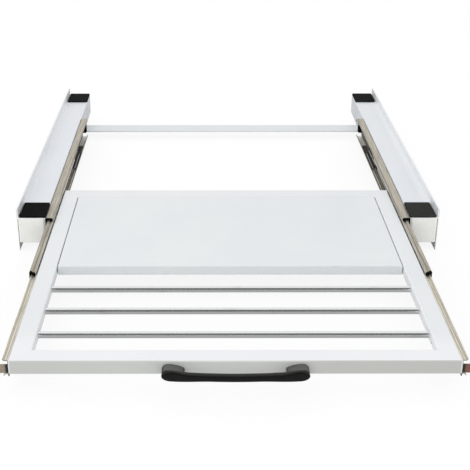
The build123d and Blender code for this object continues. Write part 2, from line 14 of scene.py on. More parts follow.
import bmesh
import bpy
import numpy as np
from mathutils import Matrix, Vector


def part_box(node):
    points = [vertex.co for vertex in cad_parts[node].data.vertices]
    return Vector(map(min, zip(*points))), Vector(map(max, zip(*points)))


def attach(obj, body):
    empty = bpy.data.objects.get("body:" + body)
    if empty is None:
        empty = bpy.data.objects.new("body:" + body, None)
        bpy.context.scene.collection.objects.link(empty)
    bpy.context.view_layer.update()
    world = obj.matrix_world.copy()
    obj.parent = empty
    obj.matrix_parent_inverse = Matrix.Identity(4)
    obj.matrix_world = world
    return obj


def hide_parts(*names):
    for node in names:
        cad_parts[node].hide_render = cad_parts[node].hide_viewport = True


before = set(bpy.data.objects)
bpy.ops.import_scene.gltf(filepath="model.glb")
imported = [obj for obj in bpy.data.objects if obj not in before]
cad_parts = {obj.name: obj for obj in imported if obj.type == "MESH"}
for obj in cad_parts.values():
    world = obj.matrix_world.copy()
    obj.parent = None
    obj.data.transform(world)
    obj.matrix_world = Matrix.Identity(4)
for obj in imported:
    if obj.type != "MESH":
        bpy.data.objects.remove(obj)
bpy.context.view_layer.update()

log = logging.getLogger("stacking_kit")
MM = 0.001
SIDES = (("left", -1.0), ("right", 1.0))
OFF_KIT = 1.0

Triple = tuple[float, float, float]
Colour = Triple
Pieces = list[bpy.types.Object]


def linear(red: int, green: int, blue: int) -> Colour:
    """Turn a display colour, 0 to 255, into the scene's linear values, by the sRGB curve.

    Args:
        red: Red as it shows on a display.
        green: Green as it shows on a display.
        blue: Blue as it shows on a display.

    Returns:
        The three linear values, 0 to 1.
    """
    shown = np.array([red, green, blue]) / 255.0
    low = shown / 12.92
    high = ((shown + 0.055) / 1.055) ** 2.4
    return tuple(float(v) for v in np.where(shown <= 0.04045, low, high))


# Shader building


class Wire:
    """An output socket of a shader, with arithmetic that adds Math nodes to its graph."""

    def __init__(self, graph: "Graph", socket: bpy.types.NodeSocket) -> None:
        """Keep the socket and the graph that it belongs to."""
        self.graph = graph
        self.socket = socket

    def _math(self, operation: str, first: "Wire | float", second: "Wire | float") -> "Wire":
        """Return first and second joined by one Math node."""
        return self.graph.node("ShaderNodeMath", {"operation": operation}, {0: first, 1: second})

    def __add__(self, other: "Wire | float") -> "Wire":
        """Return self + other."""
        return self._math("ADD", self, other)

    def __radd__(self, other: float) -> "Wire":
        """Return other + self."""
        return self._math("ADD", other, self)

    def __sub__(self, other: "Wire | float") -> "Wire":
        """Return self - other."""
        return self._math("SUBTRACT", self, other)

    def __rsub__(self, other: float) -> "Wire":
        """Return other - self."""
        return self._math("SUBTRACT", other, self)

    def __mul__(self, other: "Wire | float") -> "Wire":
        """Return self * other."""
        return self._math("MULTIPLY", self, other)

    def __rmul__(self, other: float) -> "Wire":
        """Return other * self."""
        return self._math("MULTIPLY", other, self)


class Graph:
    """The node tree of one material or world, filled by one method for any kind of node."""

    def __init__(self, owner: bpy.types.Material | bpy.types.World) -> None:
        """Empty the owner's node tree and keep it.

        Args:
            owner: The material or world that the graph belongs to.
        """
        owner.use_nodes = True
        self.tree = owner.node_tree
        self.tree.nodes.clear()

    def node(self, kind: str, settings: dict | None = None, inputs: dict | None = None,
             output: int | str = 0) -> Wire:
        """Add one node, set it up, and feed its sockets.

        Args:
            kind: Blender's name for the type of node.
            settings: Values of the node itself. "stops" holds a ramp's (place, colour) pairs.
            inputs: Value, colour or Wire for each input, by its name or number.
            output: Name or number of the output that is wanted.

        Returns:
            The wanted output. A node with no output gives its first input.
        """
        made = self.tree.nodes.new(kind)
        for name, value in (settings or {}).items():
            if name == "stops":
                self._set_stops(made.color_ramp, value)
            else:
                setattr(made, name, value)
        for name, value in (inputs or {}).items():
            socket = made.inputs[name]
            if isinstance(value, Wire):
                self.tree.links.new(value.socket, socket)
            elif isinstance(value, tuple) and socket.type == "RGBA":
                socket.default_value = (*value, 1.0)
            else:
                socket.default_value = value
        return Wire(self, made.outputs[output] if made.outputs else made.inputs[0])

    @staticmethod
    def _set_stops(ramp: bpy.types.ColorRamp, stops: list[tuple[float, Colour]]) -> None:
        """Give a ramp its stops, the first two of which it has from the start.

        Args:
            ramp: The ramp.
            stops: Place, 0 to 1, and colour of each stop.
        """
        for number, (place, colour) in enumerate(stops):
            stop = ramp.elements[number] if number < 2 else ramp.elements.new(place)
            stop.position = place
            stop.color = (*colour, 1.0)

    def place(self, stretch: Triple = (1.0, 1.0, 1.0)) -> Wire:
        """Return the point on the object, in metres, scaled by stretch along X, Y and Z."""
        point = self.node("ShaderNodeTexCoord", output="Object")
        return self.node("ShaderNodeMapping", inputs={"Vector": point, "Scale": stretch})

    def noise(self, point: Wire, scale: float, detail: float = 2.0, roughness: float = 0.5) -> Wire:
        """Return cloudy noise of 0 to 1 with about scale patches to the metre."""
        values = {"Vector": point, "Scale": scale, "Detail": detail, "Roughness": roughness}
        return self.node("ShaderNodeTexNoise", inputs=values, output="Fac")

    def cells(self, point: Wire, scale: float, feature: str = "F1") -> Wire:
        """Return the distance to the nearest cell centre, or to the cells' edges."""
        return self.node("ShaderNodeTexVoronoi", {"feature": feature},
                         {"Vector": point, "Scale": scale}, output="Distance")

    def ramp(self, value: Wire, low: float, high: float) -> Wire:
        """Return 0 below low, 1 above high and an even rise between them."""
        stops = [(low, (0.0, 0.0, 0.0)), (high, (1.0, 1.0, 1.0))]
        return self.node("ShaderNodeValToRGB", {"stops": stops}, {"Fac": value}, output="Color")

    def smooth(self, value: Wire, low: float, high: float) -> Wire:
        """Return a smooth step from 0 at low to 1 at high. It falls where high is the lower one."""
        inputs = {"Value": value, "From Min": low, "From Max": high}
        return self.node("ShaderNodeMapRange", {"interpolation_type": "SMOOTHSTEP"}, inputs)

    def band(self, value: Wire, middle: float, half: float, core: float = 0.0) -> Wire:
        """Return 1 within core of a middle value, and a smooth fall from there to 0 at half."""
        return self.smooth(self.absolute(value - middle), half, core)

    def absolute(self, value: Wire) -> Wire:
        """Return a value without its sign."""
        return self.node("ShaderNodeMath", {"operation": "ABSOLUTE"}, {0: value})

    def axis(self, point: Wire, name: str) -> Wire:
        """Return one coordinate, X, Y or Z, of a point."""
        return self.node("ShaderNodeSeparateXYZ", inputs={"Vector": point}, output=name)

    def off_middle(self, point: Wire) -> Wire:
        return self.absolute(self.axis(point, "X"))

    def facing(self, name: str) -> Wire:
        """Return one coordinate, X, Y or Z, of the direction that the surface looks in."""
        return self.axis(self.node("ShaderNodeTexCoord", output="Normal"), name)

    def blend(self, factor: Wire | float, first: Wire | Colour, second: Wire | Colour) -> Wire:
        """Return the first colour where factor is 0 and the second where it is 1."""
        made = {"Factor": factor, 6: first, 7: second}
        return self.node("ShaderNodeMix", {"data_type": "RGBA"}, made, output=2)

    def tint(self, factor: Wire | float, colour: Wire, tint: Wire | Colour) -> Wire:
        """Return the colour multiplied by the tint where factor is 1, and as it is where it is 0."""
        settings = {"data_type": "RGBA", "blend_type": "MULTIPLY"}
        return self.node("ShaderNodeMix", settings, {"Factor": factor, 6: colour, 7: tint}, output=2)

    def relief(self, *layers: tuple[Wire, float]) -> Wire:
        """Raise layers of relief, each one over those before it.

        Args:
            layers: Height, 0 to 1, and full depth of each layer.

        Returns:
            The surface's normal.
        """
        below = {}
        for height, depth in layers:
            inputs = {"Height": height, "Distance": depth, "Strength": 1.0}
            below = {"Normal": self.node("ShaderNodeBump", inputs=inputs | below)}
        return below["Normal"]

    def finish(self, **sockets: Wire | float | Colour) -> None:
        """Add the shader and the output.

        Args:
            sockets: What feeds each of the shader's inputs, whose name has _ for each space.
        """
        inputs = {name.replace("_", " "): value for name, value in sockets.items()}
        shader = self.node("ShaderNodeBsdfPrincipled", inputs=inputs)
        self.node("ShaderNodeOutputMaterial", inputs={"Surface": shader})


# Finishes


@dataclass(frozen=True)
class Finish:
    """A surface finish, whose material is made once and shared by all that wear it."""

    name: str
    made: ClassVar[dict[str, bpy.types.Material]] = {}

    def vary(self, graph: Graph, point: Wire, colour: Wire) -> Wire:
        """Return the colour as it varies over the piece, which a plain finish's doesn't."""
        return colour

    def shade(self, graph: Graph) -> None:
        """Fill a material's empty graph."""
        raise NotImplementedError

    def material(self) -> bpy.types.Material:
        """Make the finish's material at its first use.

        Returns:
            The material, the same one for each piece.
        """
        if self.name not in self.made:
            self.made[self.name] = bpy.data.materials.new(self.name)
            self.shade(Graph(self.made[self.name]))
        return self.made[self.name]

    def dress(self, *objects: bpy.types.Object) -> None:
        """Give objects this finish in each of their material slots.

        Args:
            objects: The objects.
        """
        for item in objects:
            if not item.material_slots:
                item.data.materials.append(self.material())
            for slot in item.material_slots:
                slot.material = self.material()


@dataclass(frozen=True)
class PowderCoat(Finish):
    """Baked white powder coat: orange peel, faint clouding, a few specks and dull handling marks."""

    colour: Colour
    clouded: Colour = (0.955, 0.96, 0.972)
    speck: Colour = linear(150, 148, 142)
    roughness: float = 0.36
    gloss: float = 0.12
    gloss_roughness: float = 0.2
    peel_depth: float = 0.018 * MM
    grain_depth: float = 0.003 * MM

    def shade(self, graph: Graph) -> None:
        """Cloud the colour by up to 5%, speck it, and roll the surface with millimetre orange peel.

        Args:
            graph: The material's empty graph.
        """
        point = graph.place()
        cloud = graph.noise(point, scale=9.0, detail=3.0)
        shaded = tuple(part * share for part, share in zip(self.colour, self.clouded))
        colour = graph.blend(graph.ramp(cloud, 0.35, 0.7), self.colour, shaded)
        speck = graph.smooth(graph.cells(point, scale=85.0), 0.05, 0.03)
        rare = graph.ramp(graph.noise(point, scale=31.0), 0.62, 0.66)
        colour = graph.blend(speck * rare * 0.35, colour, self.speck)
        marks = graph.noise(graph.place((1.0, 0.12, 1.0)), scale=60.0, detail=4.0, roughness=0.65)
        roughness = self.roughness + graph.ramp(marks, 0.45, 0.75) * 0.12
        peel = graph.noise(point, scale=620.0, detail=1.5)
        grain = graph.noise(point, scale=4200.0, detail=1.0)
        normal = graph.relief((peel, self.peel_depth), (grain, self.grain_depth))
        graph.finish(Base_Color=self.vary(graph, point, colour), Roughness=roughness, Normal=normal,
                     Coat_Weight=self.gloss, Coat_Roughness=self.gloss_roughness)


@dataclass(frozen=True)
class RailCoat(PowderCoat):
    """Powder coat of a side rail, whitened by painted light towards the lip.

    The sheet's cut front edges are whiter as well, a painted highlight, up to the height of plate. Below
    the height of flange, the outer wall's inner face is grey, a painted shade.
    """

    lip: float = OFF_KIT
    wall: float = OFF_KIT
    plate: float = 0.0
    flange: float = 0.0
    spread: float = 12.0 * MM
    skin: float = 0.8 * MM
    turned: tuple[float, float] = (-0.5, -0.8)
    # Painted light towards the lip.
    painted_light_tint: Colour = (1.18, 1.165, 1.14)
    # Painted highlight on the forward cut edges.
    cut: Colour = (1.24, 1.22, 1.17)
    # Painted shade on the flange's inner face.
    flange_painted_shade: Colour = (0.62, 0.62, 0.62)

    def vary(self, graph: Graph, point: Wire, colour: Wire) -> Wire:
        """Paint light towards the lip and on forward faces, and paint shade on the flange, by smooth steps.

        Args:
            graph: The material's graph.
            point: The point on the object.
            colour: The colour of the plain finish.

        Returns:
            The colour of this finish.
        """
        off_middle, height = graph.off_middle(point), graph.axis(point, "Z")
        # Painted light towards the lip and on forward cut edges, and painted shade on the flange.
        near_lip = graph.smooth(off_middle, self.lip - self.spread, self.lip)
        colour = graph.tint(near_lip, colour, self.painted_light_tint)
        forwards = graph.smooth(graph.facing("Y"), *self.turned)
        edge = forwards * graph.smooth(height, self.plate + self.skin, self.plate)
        colour = graph.tint(edge, colour, self.cut)
        inside = graph.smooth(off_middle, self.wall - self.skin / 2, self.wall - self.skin)
        inside = inside * graph.smooth(height, self.flange, self.flange - self.skin)
        return graph.tint(inside * (1.0 - forwards), colour, self.flange_painted_shade)


@dataclass(frozen=True)
class FrameCoat(PowderCoat):
    """Powder coat of the shelf's frame, painted shade on its front wall, and duller behind its front member.

    The front wall stands at the depth of front and goes out to reach on both sides. Its corners are as
    white as the top, and its painted shade is a row of stops from left to right, lighter between the
    handle's feet, where painted light evens out the handle's shadow. The folded edges inside the opening,
    further in than fold from the sides and turned sideways, are whiter by painted light.
    """

    front: float = 0.0
    reach: float = OFF_KIT
    wall_depth: float = 1.5 * MM
    corner: float = 2.0 * MM
    # Painted shade on the front wall, lighter between the handle's feet by painted light.
    wall_painted_light_stops: tuple[tuple[float, Colour], ...] = (
        (0.0, (0.67, 0.665, 0.62)), (0.33, (0.70, 0.70, 0.655)), (0.39, (0.83, 0.83, 0.785)),
        (0.58, (0.83, 0.83, 0.785)), (0.66, (0.70, 0.695, 0.645)), (0.72, (0.64, 0.635, 0.585)),
        (1.0, (0.635, 0.63, 0.58)))
    member: float = 26.0 * MM
    fade: float = 40.0 * MM
    duller: Colour = (0.94, 0.945, 0.94)
    fold: float = 10.0 * MM
    turned: tuple[float, float] = (0.5, 0.8)
    # Painted light on the folded edges inside the opening.
    painted_light_tint: Colour = (1.22, 1.22, 1.21)

    def vary(self, graph: Graph, point: Wire, colour: Wire) -> Wire:
        """Dull the coat by a smooth step behind the front member, paint light on folds and shade on the wall.

        Args:
            graph: The material's graph.
            point: The point on the object.
            colour: The colour of the plain finish.

        Returns:
            The colour of this finish.
        """
        depth = graph.axis(point, "Y") - self.front
        colour = graph.tint(graph.smooth(depth, self.member, self.member + self.fade), colour, self.duller)
        off_middle = graph.off_middle(point)
        fold = graph.smooth(graph.absolute(graph.facing("X")), *self.turned)
        fold = fold * graph.smooth(off_middle, self.reach - self.fold / 2, self.reach - self.fold)
        colour = graph.tint(fold, colour, self.painted_light_tint)
        # Painted shade on the front wall, from a row of stops along X.
        across = (graph.axis(point, "X") + self.reach) * (0.5 / self.reach)
        stops = {"stops": list(self.wall_painted_light_stops)}
        wall_painted_light = graph.node("ShaderNodeValToRGB", stops, {"Fac": across}, output="Color")
        wall = graph.smooth(depth, self.wall_depth, self.wall_depth / 3)
        wall = wall * graph.smooth(off_middle, self.reach, self.reach - self.corner)
        return graph.tint(wall, colour, wall_painted_light)


@dataclass(frozen=True)
class SlideSteel(Finish):
    """Cold-rolled slide steel under yellowish zinc, with rolling streaks and brown specks along Y."""

    light: Colour = linear(201, 195, 181)
    dark: Colour = linear(156, 148, 134)
    speck: Colour = linear(92, 76, 62)
    groove_depth: float = 0.012 * MM
    speck_depth: float = 0.006 * MM

    def streaks(self, graph: Graph) -> Wire:
        """Return fine noise of 0 to 1 that is stretched along Y."""
        return graph.noise(graph.place((1.0, 0.25, 1.0)), scale=520.0, detail=4.0, roughness=0.7)

    def mark(self, graph: Graph, point: Wire, colour: Wire, metal: Wire) -> tuple[Wire, Wire]:
        """Return the colour and how metallic it is, with a member's marks and painted shade, none here."""
        return colour, metal

    def shade(self, graph: Graph) -> None:
        """Draw streaks by noise stretched along Y, specks by finer noise, and rolled grooves by bump.

        Args:
            graph: The material's empty graph.
        """
        point = graph.place()
        streak = graph.noise(graph.place((1.0, 0.02, 1.0)), scale=900.0, detail=3.0, roughness=0.6)
        flow = graph.noise(graph.place((1.0, 0.1, 1.0)), scale=160.0, detail=3.0, roughness=0.6)
        colour = graph.blend(graph.ramp(streak, 0.35, 0.68), self.light, self.dark)
        fine = self.streaks(graph)
        specks = graph.ramp(fine, 0.58, 0.72) * graph.ramp(flow, 0.42, 0.62)
        colour = graph.blend(specks * 0.75, colour, self.speck)
        colour, metal = self.mark(graph, point, colour, 0.88 - specks * 0.5)
        roughness = 0.34 + 0.22 * streak + 0.2 * specks
        normal = graph.relief((fine, self.speck_depth), (streak, self.groove_depth))
        graph.finish(Base_Color=colour, Metallic=metal, Roughness=roughness, Normal=normal)


@dataclass(frozen=True)
class InnerSteel(SlideSteel):
    """Steel of the inner member, with painted shade in its grooves, at its tab and where it is greased.

    The steel in front of the depth of tab is the bent stop tab, brown by its own tone and by painted
    shade, and darker by painted shade out to gap_shade_reach, in the gap by the shelf's side. The steel
    behind the depth of greased_and_shaded is dark with grease and painted shade.
    """

    light: Colour = linear(236, 231, 219)
    dark: Colour = linear(196, 189, 173)
    grooves: tuple[float, ...] = ()
    # Painted shade in the grooves.
    groove_shade_colour: Colour = linear(150, 142, 128)
    groove_width: float = 0.7 * MM
    tab: float = -OFF_KIT
    # The tab's own brown tone, darkened by painted shade.
    tab_tone_and_shade: Colour = linear(165, 150, 134)
    tab_fade: float = 1.0 * MM
    # Painted shade in the gap between the tab and the shelf's side.
    gap_shade_reach: float = 0.0
    gap_shade_fade: float = 3.0 * MM
    gap_shade_colour: Colour = linear(44, 42, 40)
    # Grease, and painted shade where the middle member covers the steel.
    greased_and_shaded: float = OFF_KIT
    grease_and_shade_fade: float = 2.0 * MM
    grease: Colour = linear(48, 47, 42)

    def mark(self, graph: Graph, point: Wire, colour: Wire, metal: Wire) -> tuple[Wire, Wire]:
        """Paint shade on the grooves, the tab, its gap and the greased steel, by smooth steps along one axis.

        Args:
            graph: The material's graph.
            point: The point on the object.
            colour: The colour of the plain steel.
            metal: How metallic the plain steel is.

        Returns:
            The colour, and how metallic it is.
        """
        off_middle, depth = graph.off_middle(point), graph.axis(point, "Y")
        # Painted shade along the grooves.
        for groove in self.grooves:
            line = graph.band(off_middle, groove, self.groove_width)
            colour = graph.blend(line * 0.8, colour, self.groove_shade_colour)
        # The tab's brown, partly painted shade, and painted shade in its gap by the shelf.
        on_tab = graph.smooth(depth, self.tab + self.tab_fade, self.tab)
        gap_shade = graph.smooth(off_middle, self.gap_shade_reach + self.gap_shade_fade, self.gap_shade_reach)
        scale = graph.ramp(self.streaks(graph), 0.35, 0.75)
        tab_tone_and_shade = graph.blend(scale * 0.6, self.tab_tone_and_shade, self.speck)
        tab_tone_and_shade = graph.blend(gap_shade, tab_tone_and_shade, self.gap_shade_colour)
        colour = graph.blend(on_tab, colour, tab_tone_and_shade)
        # Grease and painted shade where the middle member covers the steel.
        film = graph.smooth(depth, self.greased_and_shaded, self.greased_and_shaded + self.grease_and_shade_fade) * (0.85 + 0.15 * scale)
        colour = graph.blend(film, colour, self.grease)
        return colour, metal * (1.0 - 0.8 * on_tab) * (1.0 - 0.7 * film)


@dataclass(frozen=True)
class ChannelSteel(SlideSteel):
    """Steel of a member that is open towards the shelf, with painted light and shade in its channel.

    The channel reaches half up and down from level, and its painted light starts at mouth: dark grease and
    painted shade by default, whiter where a member is given a pale colour. The steel is whiter by painted
    light behind the depth of painted_light_end, and dark with grease and painted shade behind that of
    greased_and_shaded. The painted stripes lie at heights from level, painted highlights where pale and
    painted shade where dark. Outside the channel, a dark line of grease and painted shade runs along the
    race, and beyond the seam painted shade darkens the steel where it meets its neighbour.
    """

    level: float = 0.0
    half: float = 16.6 * MM
    mouth: float = 0.0
    edge: float = 0.4 * MM
    # Painted light in the channel: dark grease and painted shade by default.
    film_colour: Colour = linear(38, 38, 34)
    # Painted light that whitens the rear end inside the channel.
    painted_light_end: float = OFF_KIT
    painted_light_end_fade: float = 4.0 * MM
    painted_light_end_colour: Colour = linear(240, 240, 236)
    # Grease and painted shade at the rear end inside the channel.
    greased_and_shaded: float = OFF_KIT
    grease_and_shade_fade: float = 2.0 * MM
    grease: Colour = linear(34, 34, 30)
    # Painted stripes: painted highlights where pale, painted shade where dark.
    painted_stripes: tuple[float, ...] = ()
    painted_stripe_half: float = 2.0 * MM
    painted_stripe_colour: Colour = linear(214, 212, 202)
    race: float = OFF_KIT
    race_half: float = 1.0 * MM
    seam: float = OFF_KIT
    seam_fade: float = 0.3 * MM
    # Painted shade at the seam, and grease and painted shade along the race.
    seam_shade_colour: Colour = linear(94, 89, 80)

    def mark(self, graph: Graph, point: Wire, colour: Wire, metal: Wire) -> tuple[Wire, Wire]:
        """Paint light and shade in the channel, at its ends, on its stripes, race and seam, by smooth steps.

        Args:
            graph: The material's graph.
            point: The point on the object.
            colour: The colour of the plain steel.
            metal: How metallic the plain steel is.

        Returns:
            The colour, and how metallic it is.
        """
        off_middle, depth = graph.off_middle(point), graph.axis(point, "Y")
        height = graph.axis(point, "Z") - self.level
        inside = graph.smooth(graph.absolute(height), self.half + self.edge, self.half)
        inside = inside * graph.smooth(off_middle, self.mouth, self.mouth + self.edge)
        # Painted light and shade in the channel, with painted light at the rear end.
        runs = graph.ramp(graph.noise(graph.place((0.2, 0.02, 1.0)), scale=330.0, detail=1.0), 0.46, 0.58)
        painted_light_end = graph.smooth(depth, self.painted_light_end - self.painted_light_end_fade, self.painted_light_end)
        film = inside * (1.0 - 0.3 * runs) * (1.0 - painted_light_end)
        colour = graph.blend(film, colour, self.film_colour)
        colour = graph.blend(inside * painted_light_end, colour, self.painted_light_end_colour)
        # Grease and painted shade at the rear end.
        greased_and_shaded = inside * graph.smooth(depth, self.greased_and_shaded, self.greased_and_shaded + self.grease_and_shade_fade)
        colour = graph.blend(greased_and_shaded, colour, self.grease)
        # Painted stripes: painted highlights where pale, painted shade where dark.
        for stripe in self.painted_stripes:
            stripe_share = inside * graph.band(height, stripe, self.painted_stripe_half, self.painted_stripe_half / 2)
            colour = graph.blend(stripe_share * (1.0 - painted_light_end), colour, self.painted_stripe_colour)
        # Grease and painted shade along the race, and painted shade where the member meets its neighbour.
        line = graph.band(off_middle, self.race, self.race_half) * (1.0 - inside)
        colour = graph.blend(line * 0.8, colour, self.seam_shade_colour)
        meeting = graph.smooth(off_middle, self.seam, self.seam + self.seam_fade)
        return graph.blend(meeting, colour, self.seam_shade_colour), metal * (1.0 - 0.5 * inside)


@dataclass(frozen=True)
class Polystyrene(Finish):
    """Expanded polystyrene: beads of 3 mm pressed together, with dull seams between them."""

    colour: Colour = linear(250, 251, 247)
    seam: Colour = linear(244, 244, 239)
    beads_to_metre: float = 330.0
    bead_depth: float = 0.09 * MM
    pore_depth: float = 0.02 * MM

    def shade(self, graph: Graph) -> None:
        """Raise each bead to a dome by its distance from the seams, and darken the seams a little.

        Args:
            graph: The material's empty graph.
        """
        point = graph.place()
        edge = graph.cells(point, self.beads_to_metre, feature="DISTANCE_TO_EDGE")
        bead = graph.smooth(edge, 0.0, 0.28)
        cloud = graph.noise(point, scale=40.0, detail=3.0)
        colour = graph.blend(bead * (0.7 + 0.3 * cloud), self.seam, self.colour)
        pores = graph.noise(point, scale=2600.0, detail=2.0)
        normal = graph.relief((bead, self.bead_depth), (pores, self.pore_depth))
        graph.finish(Base_Color=colour, Roughness=0.93 - 0.08 * bead, Normal=normal)


@dataclass(frozen=True)
class Rubber(Finish):
    """Black moulded rubber with a fine dull grain and a trace of dust."""

    colour: Colour = linear(22, 22, 22)
    dust_and_sheen: Colour = linear(44, 44, 43)
    grains_to_metre: float = 1500.0
    grain_depth: float = 0.05 * MM
    wave_depth: float = 0.08 * MM
    sheen: float = 0.01

    def shade(self, graph: Graph) -> None:
        """Grain by cells and noise, dust by a cloudy mask that lightens the colour.

        Args:
            graph: The material's empty graph.
        """
        point = graph.place()
        cells = graph.cells(point, self.grains_to_metre)
        dust_and_sheen = graph.ramp(graph.noise(point, scale=120.0, detail=5.0, roughness=0.7), 0.5, 0.8)
        colour = graph.blend(dust_and_sheen * 0.45, self.colour, self.dust_and_sheen)
        roughness = 0.68 + 0.2 * dust_and_sheen
        waves = graph.noise(point, scale=300.0)
        normal = graph.relief((waves, self.wave_depth), (cells, self.grain_depth))
        graph.finish(Base_Color=colour, Roughness=roughness, Normal=normal, Specular_IOR_Level=self.sheen)


@dataclass(frozen=True)
class MouldedPlastic(Finish):
    """Black injection-moulded plastic with a spark-eroded grain and smoother, rubbed high spots."""

    colour: Colour = linear(24, 24, 23)
    worn: Colour = linear(38, 38, 36)
    grains_to_metre: float = 2200.0
    grain_depth: float = 0.03 * MM
    roughness: float = 0.42
    sheen: float = 0.25

    def shade(self, graph: Graph) -> None:
        """Grain by cells, rubbed patches by soft noise that lowers the roughness and greys the colour.

        Args:
            graph: The material's empty graph.
        """
        point = graph.place()
        grain = graph.cells(point, self.grains_to_metre)
        rubbed = graph.ramp(graph.noise(point, scale=45.0, detail=3.0), 0.5, 0.72)
        colour = graph.blend(rubbed * 0.3, self.colour, self.worn)
        normal = graph.relief((grain, self.grain_depth))
        roughness = self.roughness - 0.1 * rubbed + 0.1 * grain
        graph.finish(Base_Color=self.vary(graph, point, colour), Roughness=roughness, Normal=normal,
                     Specular_IOR_Level=self.sheen)


@dataclass(frozen=True)
class TopSheenPlastic(MouldedPlastic):
    """Moulded plastic with a painted sheen on the faces that look up, behind the depth sheen_from."""

    sheen_from: float = 0.0
    sheen_fade: float = 0.6 * MM
    turned_up: tuple[float, float] = (0.5, 0.9)
    # Painted sheen on the upward faces.
    dust_and_sheen: Colour = linear(86, 87, 84)

    def vary(self, graph: Graph, point: Wire, colour: Wire) -> Wire:
        """Paint sheen by smooth steps of the depth and of how far the surface looks up, in cloudy patches.

        Args:
            graph: The material's graph.
            point: The point on the object.
            colour: The colour of the plain finish.

        Returns:
            The colour of this finish.
        """
        depth = graph.axis(point, "Y")
        # Painted sheen where the surface looks up, in cloudy patches.
        sheen_share = graph.smooth(graph.facing("Z"), *self.turned_up)
        sheen_share = sheen_share * graph.smooth(depth, self.sheen_from - self.sheen_fade, self.sheen_from)
        patches = 0.6 + 0.6 * graph.noise(point, scale=300.0, detail=4.0)
        return graph.blend(sheen_share * patches, colour, self.dust_and_sheen)


@dataclass(frozen=True)
class CagePlastic(MouldedPlastic):
    """Moulded plastic of a ball cage, with a painted highlight along its web and one along each arm.

    The web's line lies at a height from level.
    """

    level: float = 0.0
    # Painted highlights along the web and the arms.
    scuff: float = -10.0 * MM
    scuff_half: float = 2.0 * MM
    arm: float = 13.0 * MM
    arm_fade: float = 0.5 * MM
    arm_scuff: float = OFF_KIT
    arm_scuff_half: float = 1.1 * MM
    scuff_colour: Colour = linear(214, 212, 204)

    def vary(self, graph: Graph, point: Wire, colour: Wire) -> Wire:
        """Paint each highlight by a smooth fall away from its middle, broken up by noise along Y.

        Args:
            graph: The material's graph.
            point: The point on the object.
            colour: The colour of the plain finish.

        Returns:
            The colour of this finish.
        """
        height = graph.axis(point, "Z") - self.level
        broken = 0.55 + 0.45 * graph.noise(graph.place((1.0, 0.2, 1.0)), scale=260.0, detail=3.0)
        # Painted highlights along the web and the arms.
        web_line = graph.band(height, self.scuff, self.scuff_half, self.scuff_half / 2)
        colour = graph.blend(web_line * broken, colour, self.scuff_colour)
        off_middle = graph.off_middle(point)
        arm_line = graph.band(off_middle, self.arm_scuff, self.arm_scuff_half, self.arm_scuff_half / 2)
        arm_line = arm_line * graph.smooth(graph.absolute(height), self.arm, self.arm + self.arm_fade)
        return graph.blend(arm_line * broken, colour, self.scuff_colour)


@dataclass(frozen=True)
class ChromeRod(Finish):
    """Drawn rod under bright chrome, with fine draw lines along X and a few dull spots."""

    colour: Colour = linear(232, 233, 234)
    dull: Colour = linear(200, 200, 198)
    line_depth: float = 0.006 * MM

    def shade(self, graph: Graph) -> None:
        """Draw lines by noise stretched along X, and dull spots by cloudy noise.

        Args:
            graph: The material's empty graph.
        """
        lines = graph.noise(graph.place((0.01, 1.0, 1.0)), scale=1600.0, detail=3.0, roughness=0.6)
        spots = graph.ramp(graph.noise(graph.place((0.4, 1.0, 1.0)), scale=90.0, detail=4.0), 0.55, 0.75)
        colour = graph.blend(0.35 * spots + 0.2 * lines, self.colour, self.dull)
        normal = graph.relief((lines, self.line_depth))
        graph.finish(Base_Color=colour, Metallic=1.0, Roughness=0.12 + 0.12 * spots, Normal=normal)


@dataclass(frozen=True)
class BearingSteel(Finish):
    """Hardened bearing balls, bright under a thin film of grease."""

    colour: Colour = linear(214, 214, 212)
    grease: Colour = linear(176, 164, 138)
    film_depth: float = 0.008 * MM

    def shade(self, graph: Graph) -> None:
        """Smear grease over the balls by cloudy noise that tints and dulls them.

        Args:
            graph: The material's empty graph.
        """
        film = graph.ramp(graph.noise(graph.place(), scale=480.0, detail=3.0), 0.42, 0.66)
        colour = graph.blend(film * 0.6, self.colour, self.grease)
        normal = graph.relief((film, self.film_depth))
        graph.finish(Base_Color=colour, Metallic=1.0, Roughness=0.1 + 0.22 * film, Normal=normal)


@dataclass(frozen=True)
class ZincPlate(Finish):
    """Bright zinc on screws and rivets, slightly blue, with dull patches and tool marks."""

    colour: Colour = linear(196, 199, 202)
    dull: Colour = linear(146, 146, 142)
    scratch_depth: float = 0.01 * MM

    def shade(self, graph: Graph) -> None:
        """Patch the plating by cloudy noise and scratch it by a finer one.

        Args:
            graph: The material's empty graph.
        """
        point = graph.place()
        patch = graph.ramp(graph.noise(point, scale=700.0, detail=4.0, roughness=0.65), 0.4, 0.7)
        scratch = graph.noise(graph.place((1.0, 0.2, 1.0)), scale=3800.0, detail=2.0)
        colour = graph.blend(patch * 0.7, self.colour, self.dull)
        normal = graph.relief((scratch, self.scratch_depth))
        graph.finish(Base_Color=colour, Metallic=0.95, Roughness=0.24 + 0.2 * patch, Normal=normal)


class Kit(Enum):
    PANEL_WHITE = PowderCoat("panel_coat", linear(223, 227, 228), roughness=0.4)
    CROSSBAR_WHITE = PowderCoat("crossbar_coat", linear(219, 222, 224))
    FOAM = Polystyrene("expanded_polystyrene")
    PAD = Rubber("moulded_rubber")
    WORN_PAD = Rubber("worn_rubber", linear(31, 31, 31), linear(50, 50, 49))
    DUSTY_PAD = Rubber("dusty_rubber", linear(51, 52, 50), linear(76, 76, 72))
    PLASTIC = MouldedPlastic("moulded_black", linear(12, 12, 12), linear(22, 22, 21), roughness=0.5,
                             sheen=0.06)
    ROD = ChromeRod("drawn_chrome")
    BALL = BearingSteel("bearing_steel")
    SCREW = ZincPlate("zinc_plate")

    def dress(self, *objects: bpy.types.Object) -> None:
        """Give objects this finish."""
        self.value.dress(*objects)


# Surfaces


